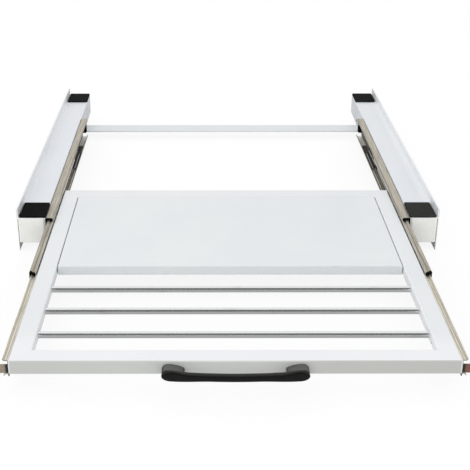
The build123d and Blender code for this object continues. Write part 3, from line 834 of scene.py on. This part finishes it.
def add_object(name: str, data: bpy.types.ID) -> bpy.types.Object:
    """Make an object of a mesh, a camera or a lamp, and link it to the scene.

    Args:
        name: Name of the object.
        data: What it is made of.

    Returns:
        The new object.
    """
    made = bpy.data.objects.new(name, data)
    bpy.context.scene.collection.objects.link(made)
    return made


def shell(name: str, sheets: list[np.ndarray], merge: float = 0.001 * MM) -> bpy.types.Object:
    """Join closed grids of points into one smooth mesh object.

    Each sheet is a grid of rows by columns. Its columns run round and close on themselves, and its first
    and last row each shrink to a point or a line. Corner (i, j) joins (i, j + 1), (i + 1, j + 1) and
    (i + 1, j). A sheet whose volume comes out negative is turned round, so that its faces look outwards.

    Args:
        name: Name of the object.
        sheets: Arrays of rows x columns x 3 points in metres.
        merge: Points closer than this are made one, which closes the poles.

    Returns:
        The new object, linked to the scene.
    """
    points, faces, start = [], [], 0
    for sheet in sheets:
        rows, columns = sheet.shape[:2]
        index = start + np.arange(rows * columns).reshape(rows, columns)
        near, far = index[:-1], index[1:]
        quads = np.stack([near, np.roll(near, -1, 1), np.roll(far, -1, 1), far], -1).reshape(-1, 4)
        corners = sheet.reshape(-1, 3)
        a, b, c, d = (corners[quads[:, k] - start] for k in range(4))
        volume = np.einsum("ij,ij->", a, np.cross(b, c)) + np.einsum("ij,ij->", a, np.cross(c, d))
        faces.append(quads if volume > 0 else quads[:, ::-1])
        points.append(corners)
        start += rows * columns
    mesh = bpy.data.meshes.new(name)
    mesh.from_pydata(np.concatenate(points), [], np.concatenate(faces).tolist())
    clean_mesh(mesh, merge)
    mesh.shade_smooth()
    return add_object(name, mesh)


def clean_mesh(mesh: bpy.types.Mesh, merge: float) -> None:
    """Merge a mesh's doubled points, and drop the faces that this leaves without an area.

    Args:
        mesh: The mesh to clean.
        merge: Distance below which two points are one.
    """
    work = bmesh.new()
    work.from_mesh(mesh)
    bmesh.ops.remove_doubles(work, verts=work.verts, dist=merge)
    bmesh.ops.dissolve_degenerate(work, edges=work.edges, dist=merge)
    work.to_mesh(mesh)
    work.free()


def smoothstep(value: np.ndarray, low: float, high: float) -> np.ndarray:
    """Return 0 below low, 1 above high and 3t^2 - 2t^3 between them."""
    t = np.clip((value - low) / (high - low), 0.0, 1.0)
    return t * t * (3.0 - 2.0 * t)


def edge_profile(steps: int, power: float) -> tuple[np.ndarray, np.ndarray]:
    """Half of a superellipse, from its back pole over its rim to its front pole.

    The angle a runs from -90 to 90 degrees. Reach from the middle is cos(a) to 2 / power, and depth is
    sin(a) to 2 / power with its sign kept, so a high power gives flat faces with a tight rounded rim.

    Args:
        steps: How many points.
        power: The superellipse's power, 2 for a circle.

    Returns:
        Reach, 0 to 1, and depth, -1 to 1, at each step.
    """
    angle = np.linspace(-math.pi / 2, math.pi / 2, steps)
    reach = np.clip(np.cos(angle), 0.0, 1.0) ** (2.0 / power)
    depth = np.sign(np.sin(angle)) * np.abs(np.sin(angle)) ** (2.0 / power)
    return reach, depth


def oval_outline(along: int, around: int) -> tuple[np.ndarray, np.ndarray, np.ndarray]:
    """Outline of a long oval: along its top, round one end, back along its bottom and round the other.

    Args:
        along: How many points each straight run has.
        around: How many points each round end has.

    Returns:
        Place on the middle line, -1 to 1, and the direction across and up in which the outline stands off.
    """
    run = np.linspace(-1.0, 1.0, along, endpoint=False)
    lean = np.linspace(math.pi / 2, -math.pi / 2, around, endpoint=False)
    flat, end = np.zeros(along), np.ones(around)
    middle = np.concatenate([run, end, -run, -end])
    across = np.concatenate([flat, np.cos(lean), flat, -np.cos(lean)])
    up = np.concatenate([flat + 1.0, np.sin(lean), flat - 1.0, -np.sin(lean)])
    return middle, across, up


# Pieces that this file builds


@dataclass
class BowHandle:
    """Moulded bow handle: a bone-shaped bar, wider at its ends, in front of two oval feet."""

    width: float = 160.0 * MM
    foot_width: float = 25.0 * MM
    foot_height: float = 12.7 * MM
    foot_reach: float = 17.8 * MM
    bow_reach: float = 22.38 * MM
    bar_height: float = 8.1 * MM
    bar_thickness: float = 7.0 * MM
    bar_thickening: float = 1.3 * MM
    bar_power: float = 3.0
    drop: float = 3.5 * MM
    end_length: float = 11.0 * MM
    neck_length: float = 20.0 * MM
    under_neck_length: float = 45.0 * MM
    foot_draft: float = 0.03
    foot_end: float = 7.0 * MM
    foot_power: float = 14.0
    foot_squareness: float = 0.35
    foot_fall: float = 4.6 * MM
    fall_start: float = 0.35
    fall_power: float = 1.7
    # How far behind the bar's back the painted sheen starts.
    sheen_start: float = 1.5 * MM
    wall: float = field(init=False)
    middle_z: float = field(init=False)

    def __post_init__(self) -> None:
        """Take the front wall's depth and the feet's level from the CAD nodes."""
        low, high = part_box("shelf_frame")
        self.wall = low.y
        self.middle_z = high.z - self.drop - self.foot_height / 2

    def bone(self, along: int = 96, around: int = 28, rows: int = 25) -> np.ndarray:
        """Grid of the bar with its two round ends.

        A point goes round the bar's long oval, whose ends are half ellipses. It stands off from the middle
        line by half of the foot's height at the ends, and narrows by a smoothstep to half of the bar's,
        over a longer way underneath than on top. The section is a superellipse of bar_power, and the middle
        line bows forwards as a parabola.

        Args:
            along: Points along each long side.
            around: Points round each end.
            rows: Points over the section, from the back to the front.

        Returns:
            The grid, rows over the section by columns round the outline.
        """
        half = self.width / 2 - self.end_length
        middle, across, up = oval_outline(along, around)
        neck = np.where(up < 0.0, self.under_neck_length, self.neck_length)
        slim = 1.0 - smoothstep(half * np.abs(middle), half - neck, half)
        stand_off = (self.foot_height + (self.bar_height - self.foot_height) * slim) / 2
        bow = (self.bow_reach - self.foot_reach) * (1.0 - middle**2)
        reach, depth = edge_profile(rows, self.bar_power)
        grid = np.empty((rows, len(middle), 3))
        grid[..., 0] = half * middle + np.outer(reach, self.end_length * across)
        thick = self.bar_thickness + self.bar_thickening * slim
        grid[..., 1] = self.wall - self.foot_reach - bow + thick / 2 * (1.0 - depth[:, None])
        grid[..., 2] = self.middle_z + np.outer(reach, stand_off * up)
        return grid

    def foot(self, side: float, along: int = 12, around: int = 24, rows: int = 17) -> np.ndarray:
        """Grid of one foot, from the shelf's wall to inside the bar's end.

        A point goes round an oval as high as the foot, which shrinks by the draft towards the front. Its
        inner end is squarer, with the cosine to the power foot_squareness. Its top falls off by foot_fall,
        as the share of the way inwards from fall_start to the power fall_power. The section is a
        superellipse of foot_power, so its wall is straight and its rims are tight.

        Args:
            side: -1 for the left foot and 1 for the right one.
            along: Points along each straight side.
            around: Points round each end.
            rows: Points over the section, from the front to the back.

        Returns:
            The grid, rows over the section by columns round the oval.
        """
        half, radius = self.foot_width / 2, self.foot_height / 2
        middle, across, up = oval_outline(along, around)
        inner = across * side < 0.0
        across = np.where(inner, -side * np.abs(across) ** self.foot_squareness, across)
        reach, depth = edge_profile(rows, self.foot_power)
        drafted = reach * (1.0 - self.foot_draft * (depth + 1.0) / 2.0)
        offset = (half - self.foot_end) * middle + np.outer(drafted, self.foot_end * across)
        inwards = (self.fall_start - side * offset / half) / (self.fall_start + 1.0)
        fall = self.foot_fall / radius * np.clip(inwards, 0.0, 1.0) ** self.fall_power
        grid = np.empty((rows, len(middle), 3))
        grid[..., 0] = side * (self.width / 2 - half) + offset
        length = self.foot_reach - self.bar_thickness / 2
        grid[..., 1] = self.wall - length * (1.0 + depth[:, None]) / 2
        grid[..., 2] = self.middle_z + np.outer(drafted, radius * up) * np.where(up > 0.0, 1.0 - fall, 1.0)
        return grid

    def build(self) -> bpy.types.Object:
        """Build the handle, dress it and set it in the place of its CAD node.

        Returns:
            The handle.
        """
        made = shell("bow_handle", [self.bone(), self.foot(-1.0), self.foot(1.0)])
        bar_back = self.wall - self.foot_reach + self.bar_thickness
        # Painted sheen on the handle's upward faces behind the bar.
        TopSheenPlastic("handle_black", linear(12, 13, 10), linear(20, 21, 18), roughness=0.4, sheen=0.3,
                     sheen_from=bar_back - self.sheen_start).dress(made)
        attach(made, "shelf")
        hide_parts("handle")
        return made


@dataclass(frozen=True)
class PanScrew:
    """Pan-head screw with a cross recess and a rolled thread.

    The rim is a share of the head's height, and its lower edge is bevelled over a share of the radius and
    of the rim. The dome starts at a share of the radius. The recess fades between shares of its width and
    of its length, and the thread starts between shares of the grip.
    """

    head_diameter: float = 7.5 * MM
    head_height: float = 1.6 * MM
    rim_share: float = 0.45
    bevel_shares: tuple[float, float] = (0.03, 0.25)
    dome_share: float = 0.985
    dome_power: float = 2.4
    recess_depth: float = 1.0 * MM
    recess_width: float = 0.9 * MM
    recess_width_shares: tuple[float, float] = (0.35, 0.6)
    recess_length: float = 4.4 * MM
    recess_length_shares: tuple[float, float] = (0.3, 0.5)
    shank_diameter: float = 4.0 * MM
    grip: float = 2.2 * MM
    reach: float = 5.0 * MM
    thread_pitch: float = 1.25 * MM
    thread_depth: float = 0.3 * MM
    thread_shares: tuple[float, float] = (0.2, 0.6)
    point_narrowing: float = 0.35

    def head(self, columns: int = 48, rings: int = 17) -> np.ndarray:
        """Grid of the head, round its axis, which is local z with the seat at 0.

        The profile runs from the seat's middle out to the rim, up the rim and over a dome that falls off
        with the distance from the axis to the power dome_power. The recess lowers the dome by a depth that
        fades with a smoothstep across each of the cross's two arms and along them.

        Args:
            columns: Points round the axis.
            rings: Rows over the dome.

        Returns:
            The grid, rows from the seat's middle to the dome's by columns round the axis.
        """
        rim, dome = self.head_height * self.rim_share, self.head_height * (1.0 - self.rim_share)
        inset, lift = self.bevel_shares
        over = np.linspace(self.dome_share, 0.0, rings)
        out = self.head_diameter / 2 * np.concatenate([[0.0, 1.0 - inset, 1.0], over])
        top = np.concatenate([[0.0, 0.0, rim * lift], rim + dome * (1.0 - over**self.dome_power)])
        turn = np.linspace(0.0, 2.0 * math.pi, columns, endpoint=False)
        x, y = np.outer(out, np.cos(turn)), np.outer(out, np.sin(turn))
        near, far = np.minimum(np.abs(x), np.abs(y)), np.maximum(np.abs(x), np.abs(y))
        across = 1.0 - smoothstep(near / self.recess_width, *self.recess_width_shares)
        along = 1.0 - smoothstep(far / self.recess_length, *self.recess_length_shares)
        on_dome = (np.arange(len(out)) > len(out) - rings)[:, None]
        return np.stack([x, y, top[:, None] - self.recess_depth * across * along * on_dome], -1)

    def shank(self, columns: int = 20, rows: int = 44) -> np.ndarray:
        """Grid of the shank below the seat, with its thread.

        The radius is the shank's less a triangle wave of height thread_depth in z / pitch minus the turn,
        which winds the thread, and it narrows to the point over the last pitch.

        Args:
            columns: Points round the axis.
            rows: Rows down the axis.

        Returns:
            The grid, rows down the axis by columns round it.
        """
        length = self.grip + self.reach
        down = np.concatenate([[0.0], np.linspace(0.0, length, rows), [length]])
        turn = np.linspace(0.0, 2.0 * math.pi, columns, endpoint=False)
        phase = (down[:, None] / self.thread_pitch - turn / (2.0 * math.pi)) % 1.0
        wave = 1.0 - np.abs(2.0 * phase - 1.0)
        cut = smoothstep(down / self.grip, *self.thread_shares)[:, None]
        point = smoothstep(down, length - self.thread_pitch, length)[:, None]
        radius = self.shank_diameter / 2 - self.thread_depth * wave * cut
        radius *= 1.0 - self.point_narrowing * point
        radius[[0, -1]] = 0.0
        z = np.repeat(-down[:, None], columns, 1)
        return np.stack([radius * np.cos(turn), radius * np.sin(turn), z], -1)

    def placed(self, seat: np.ndarray, out: np.ndarray) -> list[np.ndarray]:
        """Head and shank with their seat at a point and their axis along a direction.

        Args:
            seat: The point under the head's middle.
            out: Unit direction that the head looks in, along X, Y or Z.

        Returns:
            The two grids.
        """
        across = np.roll(out, 1)
        turned = np.stack([across, np.cross(out, across), out])
        return [grid @ turned + seat for grid in (self.head(), self.shank())]


@dataclass
class ScrewSet:
    """Screws that stand for a CAD node's, spread between that node's outermost ones.

    The shares along X, Y and Z say where the screws stand between the first and the last one. The axis
    that the heads look along has none, because there the tips are where the CAD node ends.
    """

    BOTH_ENDS: ClassVar[tuple[float, ...]] = (0.0, 1.0)
    MIDWAY: ClassVar[tuple[float, ...]] = (0.5,)
    HEAD_AXIS: ClassVar[tuple[float, ...]] = ()

    name: str
    node: str
    body: str
    out: Triple
    shares: tuple[tuple[float, ...], ...]
    screw: PanScrew = PanScrew()

    def seats(self) -> np.ndarray:
        """Spread the screws over the CAD node's box.

        Returns:
            The point under each screw's head, one row each.
        """
        low, high = (np.array(corner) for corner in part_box(self.node))
        out = np.array(self.out)
        inset = self.screw.head_diameter / 2 * (out == 0.0)
        tip = np.where(out > 0.0, low, high)
        length = self.screw.grip + self.screw.reach
        places = []
        for axis, along in enumerate(self.shares):
            first, last = low[axis] + inset[axis], high[axis] - inset[axis]
            seat = tip[axis] + out[axis] * length
            places.append(np.array([first + share * (last - first) for share in along] or [seat]))
        return np.stack(np.meshgrid(*places, indexing="ij"), -1).reshape(-1, 3)

    def build(self) -> bpy.types.Object:
        """Build the screws as one piece, dress it and set it in the place of its CAD node.

        Returns:
            The piece.
        """
        grids = [grid for seat in self.seats() for grid in self.screw.placed(seat, np.array(self.out))]
        made = shell(self.name, grids)
        Kit.SCREW.dress(made)
        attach(made, self.body)
        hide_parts(self.node)
        return made


# Sub-assemblies, which dress their CAD nodes and build what is added to them


def dress_nodes(finish: Finish | Kit, *names: str) -> Pieces:
    """Give CAD nodes a finish.

    Args:
        finish: The finish.
        names: The nodes' names.

    Returns:
        The nodes.
    """
    nodes = [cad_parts[name] for name in names]
    finish.dress(*nodes)
    return nodes


class Assembly:
    """A part of the scene that builds itself."""

    def build(self) -> Pieces:
        """Build and dress the pieces, and return them."""
        raise NotImplementedError


@dataclass
class SideRail(Assembly):
    """Folded rail on one side, with its foam blocks and rubber pads."""

    side: str
    lip_thickness: float = 2.5 * MM

    def build(self) -> Pieces:
        """Dress the rail and what is in and on it.

        The underside of the front pad is the plate's height, and that of the front block the flange's.

        Returns:
            The rail, its blocks and its pads.
        """
        low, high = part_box(f"{self.side}_rail")
        wall = max(-low.x, high.x)
        coat = RailCoat("rail_coat", linear(222, 225, 229), lip=wall - self.lip_thickness, wall=wall,
                        plate=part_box(f"{self.side}_front_pad")[0].z,
                        flange=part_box(f"{self.side}_front_block")[0].z)
        pieces = dress_nodes(coat, f"{self.side}_rail")
        pieces += dress_nodes(Kit.FOAM, f"{self.side}_front_block", f"{self.side}_rear_block")
        pieces += dress_nodes(Kit.PAD if self.side == "left" else Kit.DUSTY_PAD, f"{self.side}_front_pad")
        return pieces + dress_nodes(Kit.WORN_PAD, f"{self.side}_rear_pad")


@dataclass
class BallSlide(Assembly):
    """Three-part ball bearing slide on one side, with its cages, balls, plastic ends and lever.

    Lengths of steel that painted light whitens and that grease and painted shade darken are measured from
    a member's rear end. Seams and the race, darkened by painted shade, are inset from a member's widest part.
    The channel's painted light and the cage's painted highlight are measured from the outer member's mouth,
    and the inner member's lines of painted shade and its gap shade from the shelf's side.
    """

    # Each side's tab: its own brown tone, darkened by painted shade.
    TAB_TONES_AND_SHADES: ClassVar[dict[str, Colour]] = {"left": linear(170, 156, 140), "right": linear(136, 92, 80)}

    side: str
    direction: float
    screw_shares: tuple[float, ...] = (0.0, 0.625, 1.0)
    inner_grooves: tuple[float, ...] = (2.6 * MM, 5.2 * MM)
    # Painted shade in the gap by the shelf's side.
    gap_shade_width: float = 2.4 * MM
    tab_thickness: float = 1.5 * MM
    # Painted highlights in the outer channel, and painted light at its rear end.
    outer_painted_highlights: tuple[float, ...] = (-2.0 * MM, -10.0 * MM)
    outer_painted_light_end: float = 50.0 * MM
    outer_seam: float = 1.3 * MM
    film_start: float = 1.2 * MM
    scuff_start: float = 4.4 * MM
    middle_half: float = 11.4 * MM
    # Painted shade lines, race and seam of the middle member, and grease with painted shade at its rear.
    middle_painted_shade_lines: tuple[float, ...] = (4.0 * MM, -4.0 * MM, -11.0 * MM)
    middle_painted_shade_half: float = 1.8 * MM
    middle_seam: float = 0.9 * MM
    middle_race: float = 4.85 * MM
    middle_grease_and_shade: float = 20.0 * MM

    def dress(self, finish: Finish | Kit, *parts: str) -> Pieces:
        """Give a finish to this side's nodes, named without their side, and return them."""
        return dress_nodes(finish, *(f"{self.side}_{part}" for part in parts))

    def dress_outer(self) -> Pieces:
        """Dress the outer member and the cages, one of which shows in its channel.

        Returns:
            The outer member and the cages.
        """
        low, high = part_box(f"{self.side}_outer_slide")
        level = (low.z + high.z) / 2
        wide, mouth = max(-low.x, high.x), min(abs(low.x), abs(high.x))
        # Painted light at the rear end and in the channel, and painted highlights on the stripes and the
        # cage.
        steel = ChannelSteel("outer_steel", level=level, mouth=mouth + self.film_start,
                             painted_light_end=high.y - self.outer_painted_light_end, painted_stripes=self.outer_painted_highlights,
                             seam=wide - self.outer_seam)
        cage = CagePlastic("cage_black", level=level, arm_scuff=mouth + self.scuff_start)
        return self.dress(steel, "outer_slide") + self.dress(cage, "outer_cage", "inner_cage")

    def dress_middle(self) -> Pieces:
        """Dress the middle member.

        Returns:
            The middle member.
        """
        low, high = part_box(f"{self.side}_middle_slide")
        wide = max(-low.x, high.x)
        # The middle member's channel is whitened by painted light, with lines of painted shade.
        steel = ChannelSteel("middle_steel", level=(low.z + high.z) / 2, half=self.middle_half,
                             film_colour=linear(246, 244, 240), painted_stripes=self.middle_painted_shade_lines,
                             painted_stripe_half=self.middle_painted_shade_half, painted_stripe_colour=linear(56, 53, 46),
                             race=wide - self.middle_race, seam=wide - self.middle_seam,
                             greased_and_shaded=high.y - self.middle_grease_and_shade)
        return self.dress(steel, "middle_slide")

    def dress_inner(self) -> Pieces:
        """Dress the inner member, greased and darkened by painted shade from where the middle member covers
        it.

        Returns:
            The inner member.
        """
        shelf_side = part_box("shelf_frame")[1].x
        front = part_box(f"{self.side}_inner_slide")[0].y
        steel = InnerSteel(f"{self.side}_inner_steel",
                           grooves=tuple(shelf_side + out for out in self.inner_grooves),
                           tab=front + self.tab_thickness, tab_tone_and_shade=self.TAB_TONES_AND_SHADES[self.side],
                           gap_shade_reach=shelf_side + self.gap_shade_width,
                           greased_and_shaded=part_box(f"{self.side}_middle_slide")[0].y)
        return self.dress(steel, "inner_slide")

    def build(self) -> Pieces:
        """Dress the slide's members and small parts, and build the screws of its inner member.

        Returns:
            All the pieces.
        """
        pieces = self.dress_outer() + self.dress_middle() + self.dress_inner()
        pieces += self.dress(Kit.PLASTIC, "outer_buffer", "middle_buffer", "release_lever")
        pieces += self.dress(Kit.PAD, "rear_bumper")
        pieces += self.dress(Kit.BALL, "outer_balls", "inner_balls")
        pieces += self.dress(Kit.SCREW, "outer_rivets", "lever_pin")
        shares = (ScrewSet.HEAD_AXIS, self.screw_shares, ScrewSet.MIDWAY)
        screws = ScrewSet(f"{self.side}_slide_screws", f"{self.side}_inner_screws", "shelf",
                          (self.direction, 0.0, 0.0), shares)
        return [*pieces, screws.build()]


@dataclass
class RearCrossbar(Assembly):
    """Strip that joins the two rails behind the shelf."""

    screw_grip: float = 3.2 * MM

    def build(self) -> Pieces:
        """Dress the strip and build its screws, whose heads look inwards at both ends.

        Returns:
            The strip and its screws.
        """
        pieces = dress_nodes(Kit.CROSSBAR_WHITE, "rear_crossbar")
        shares = (ScrewSet.HEAD_AXIS, ScrewSet.BOTH_ENDS, ScrewSet.MIDWAY)
        for side, direction in SIDES:
            screws = ScrewSet(f"{side}_crossbar_screws", "crossbar_screws", "root", (-direction, 0.0, 0.0),
                              shares, PanScrew(grip=self.screw_grip))
            pieces.append(screws.build())
        return pieces


@dataclass
class PullOutShelf(Assembly):
    """Shelf frame with its panel, drying rods, handle and screws."""

    handle_screw_grip: float = 1.2 * MM
    handle_screw_reach: float = 9.0 * MM

    def build(self) -> Pieces:
        """Dress the shelf's sheet metal and rods, and build its screws and its handle.

        Returns:
            All the pieces.
        """
        low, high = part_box("shelf_frame")
        coat = FrameCoat("frame_coat", linear(232, 234, 236), front=low.y, reach=high.x)
        pieces = dress_nodes(coat, "shelf_frame") + dress_nodes(Kit.PANEL_WHITE, "shelf_panel")
        pieces += dress_nodes(Kit.ROD, "rear_rod", "middle_rod", "front_rod")
        corners = (ScrewSet.BOTH_ENDS, ScrewSet.BOTH_ENDS, ScrewSet.HEAD_AXIS)
        panel_screws = ScrewSet("shelf_panel_screws", "panel_screws", "shelf", (0.0, 0.0, -1.0), corners)
        ends = (ScrewSet.BOTH_ENDS, ScrewSet.HEAD_AXIS, ScrewSet.MIDWAY)
        long_screw = PanScrew(grip=self.handle_screw_grip, reach=self.handle_screw_reach)
        handle_screws = ScrewSet("shelf_handle_screws", "handle_screws", "shelf", (0.0, 1.0, 0.0), ends,
                                 long_screw)
        return [*pieces, panel_screws.build(), handle_screws.build(), BowHandle().build()]


# Camera and studio


@dataclass
class Camera(Assembly):
    """Camera that was fitted to the photograph, in the frame's own axes."""

    eye: Triple = (-34.2 * MM, -1373.9 * MM, 613.3 * MM)
    pitch_down: float = 24.9
    turn_right: float = 0.1
    sensor: float = 36.0
    frame_pixels: float = 470.0
    focal_pixels: float = 977.9
    centre_pixel_x: float = 205.3
    near: float = 0.05
    far: float = 60.0

    def build(self) -> Pieces:
        """Create the camera and make it the scene's.

        Returns:
            The camera.
        """
        data = bpy.data.cameras.new("photo_camera")
        data.sensor_width = self.sensor
        data.lens = self.sensor * self.focal_pixels / self.frame_pixels
        data.shift_x = 0.5 - self.centre_pixel_x / self.frame_pixels
        data.clip_start, data.clip_end = self.near, self.far
        made = add_object("photo_camera", data)
        made.location = self.eye
        made.rotation_euler = (math.radians(90.0 - self.pitch_down), 0.0, -math.radians(self.turn_right))
        bpy.context.scene.camera = made
        return [made]


@dataclass
class Studio(Assembly):
    """Plain pale floor, white surroundings, two large soft lamps and a dark card for reflections."""

    floor_half: float = 9.0
    floor_drop: float = 0.4 * MM
    floor_colour: Colour = (0.85, 0.85, 0.85)
    floor_shown: Colour = (1.0, 1.0, 1.0)
    floor_shadow: float = 0.12
    floor_reflected: float = 0.48
    card_place: Triple = (0.0, -1.9, 2.65)
    card_size: tuple[float, float] = (8.0, 5.1)
    card_colour: Colour = (0.22, 0.22, 0.22)
    sky_strength: float = 0.92
    key_power: float = 9.0
    key_place: Triple = (-1.5, -0.8, 2.0)
    fill_power: float = 14.0
    fill_place: Triple = (-0.6, -2.5, 1.5)
    lamp_size: float = 3.0
    target: Triple = (0.0, 0.0, 0.03)

    @staticmethod
    def seen(graph: Graph) -> Wire:
        """Tell what is seen from what is lit.

        Args:
            graph: The graph of a paint or of the world.

        Returns:
            1 for rays of the camera, of reflections and through glass, and 0 for light.
        """
        rays = [graph.node("ShaderNodeLightPath", output=name)
                for name in ("Is Camera Ray", "Is Glossy Ray", "Is Transmission Ray")]
        both = graph.node("ShaderNodeMath", {"operation": "MAXIMUM"}, {0: rays[0], 1: rays[1]})
        return graph.node("ShaderNodeMath", {"operation": "MAXIMUM"}, {0: both, 1: rays[2]})

    def build_sky(self) -> None:
        """White surroundings for what is seen, and a plain level of light for what is lit."""
        world = bpy.data.worlds.new("white_surroundings")
        bpy.context.scene.world = world
        graph = Graph(world)
        strength = self.sky_strength + self.seen(graph) * (1.0 - self.sky_strength)
        sky = graph.node("ShaderNodeBackground", inputs={"Color": (1.0, 1.0, 1.0), "Strength": strength})
        graph.node("ShaderNodeOutputWorld", inputs={"Surface": sky})

    @staticmethod
    def build_sheet(name: str, corners: list[Triple], paint: str) -> tuple[bpy.types.Object, Graph]:
        """Build one flat sheet with a paint of its own.

        Args:
            name: Name of the sheet.
            corners: Its four corners, in turn.
            paint: Name of its paint.

        Returns:
            The sheet, and the paint's graph, which is still empty.
        """
        mesh = bpy.data.meshes.new(name)
        mesh.from_pydata(corners, [], [(0, 1, 2, 3)])
        mesh.materials.append(bpy.data.materials.new(paint))
        return add_object(name, mesh), Graph(mesh.materials[0])

    def build_floor(self) -> bpy.types.Object:
        """Returns:
            The floor.
        """
        half, level = self.floor_half, -self.floor_drop
        corners = [(-half, -half, level), (half, -half, level), (half, half, level), (-half, half, level)]
        floor, graph = self.build_sheet("floor", corners, "floor_paint")
        camera = graph.node("ShaderNodeLightPath", output="Is Camera Ray")
        paler = graph.blend(camera, self.floor_colour, self.floor_shown)
        matte = graph.node("ShaderNodeBsdfDiffuse", inputs={"Color": paler})
        strength = self.floor_reflected + camera * (1.0 - self.floor_reflected)
        glow = graph.node("ShaderNodeEmission", inputs={"Color": (1.0, 1.0, 1.0), "Strength": strength})
        share = self.seen(graph) - camera * self.floor_shadow
        mixed = graph.node("ShaderNodeMixShader", inputs={0: share, 1: matte, 2: glow})
        graph.node("ShaderNodeOutputMaterial", inputs={"Surface": mixed})
        return floor

    def build_card(self) -> bpy.types.Object:
        """Build a dark card that only reflections see, so that metal keeps its dark lines.

        Returns:
            The card.
        """
        x, y, z = self.card_place
        wide, high = (size / 2 for size in self.card_size)
        left, right, under, over = x - wide, x + wide, z - high, z + high
        corners = [(left, y, under), (right, y, under), (right, y, over), (left, y, over)]
        card, graph = self.build_sheet("dark_card", corners, "card_black")
        card.visible_camera = card.visible_diffuse = card.visible_shadow = card.visible_transmission = False
        black = graph.node("ShaderNodeBsdfDiffuse", inputs={"Color": self.card_colour})
        graph.node("ShaderNodeOutputMaterial", inputs={"Surface": black})
        return card

    def build_lamp(self, name: str, power: float, place: Triple) -> bpy.types.Object:
        """Hang one square lamp that shines on the target.

        The lamp shines down its own -Z, so it tips by the angle between straight down and the target, and
        turns by the target's direction less the 90 degrees at which it tips.

        Args:
            name: Name of the lamp.
            power: Its power in watts.
            place: Where it hangs.

        Returns:
            The lamp.
        """
        data = bpy.data.lights.new(name, "AREA")
        data.shape = "SQUARE"
        data.size = self.lamp_size
        data.energy = power
        lamp = add_object(name, data)
        lamp.location = place
        lamp.visible_glossy = False
        x, y, z = np.array(self.target) - np.array(place)
        lamp.rotation_euler = (math.atan2(math.hypot(x, y), -z), 0.0, math.atan2(y, x) - math.pi / 2)
        return lamp

    def build(self) -> Pieces:
        """Build the surroundings, the floor, the card and the lamps.

        Returns:
            All but the surroundings.
        """
        self.build_sky()
        return [self.build_floor(), self.build_card(),
                self.build_lamp("key_lamp", self.key_power, self.key_place),
                self.build_lamp("fill_lamp", self.fill_power, self.fill_place)]


def main() -> None:
    """Build the studio and every sub-assembly in order, and report each piece."""
    logging.basicConfig(level=logging.INFO, format="%(name)s: %(message)s")
    bpy.context.scene.view_settings.view_transform = "Standard"
    assemblies = [Camera(), Studio()]
    for side, direction in SIDES:
        assemblies += [SideRail(side), BallSlide(side, direction)]
    assemblies += [RearCrossbar(), PullOutShelf()]
    for assembly in assemblies:
        for piece in assembly.build():
            log.info("%s: %s", type(assembly).__name__, piece.name)


if __name__ == "__main__":
    main()
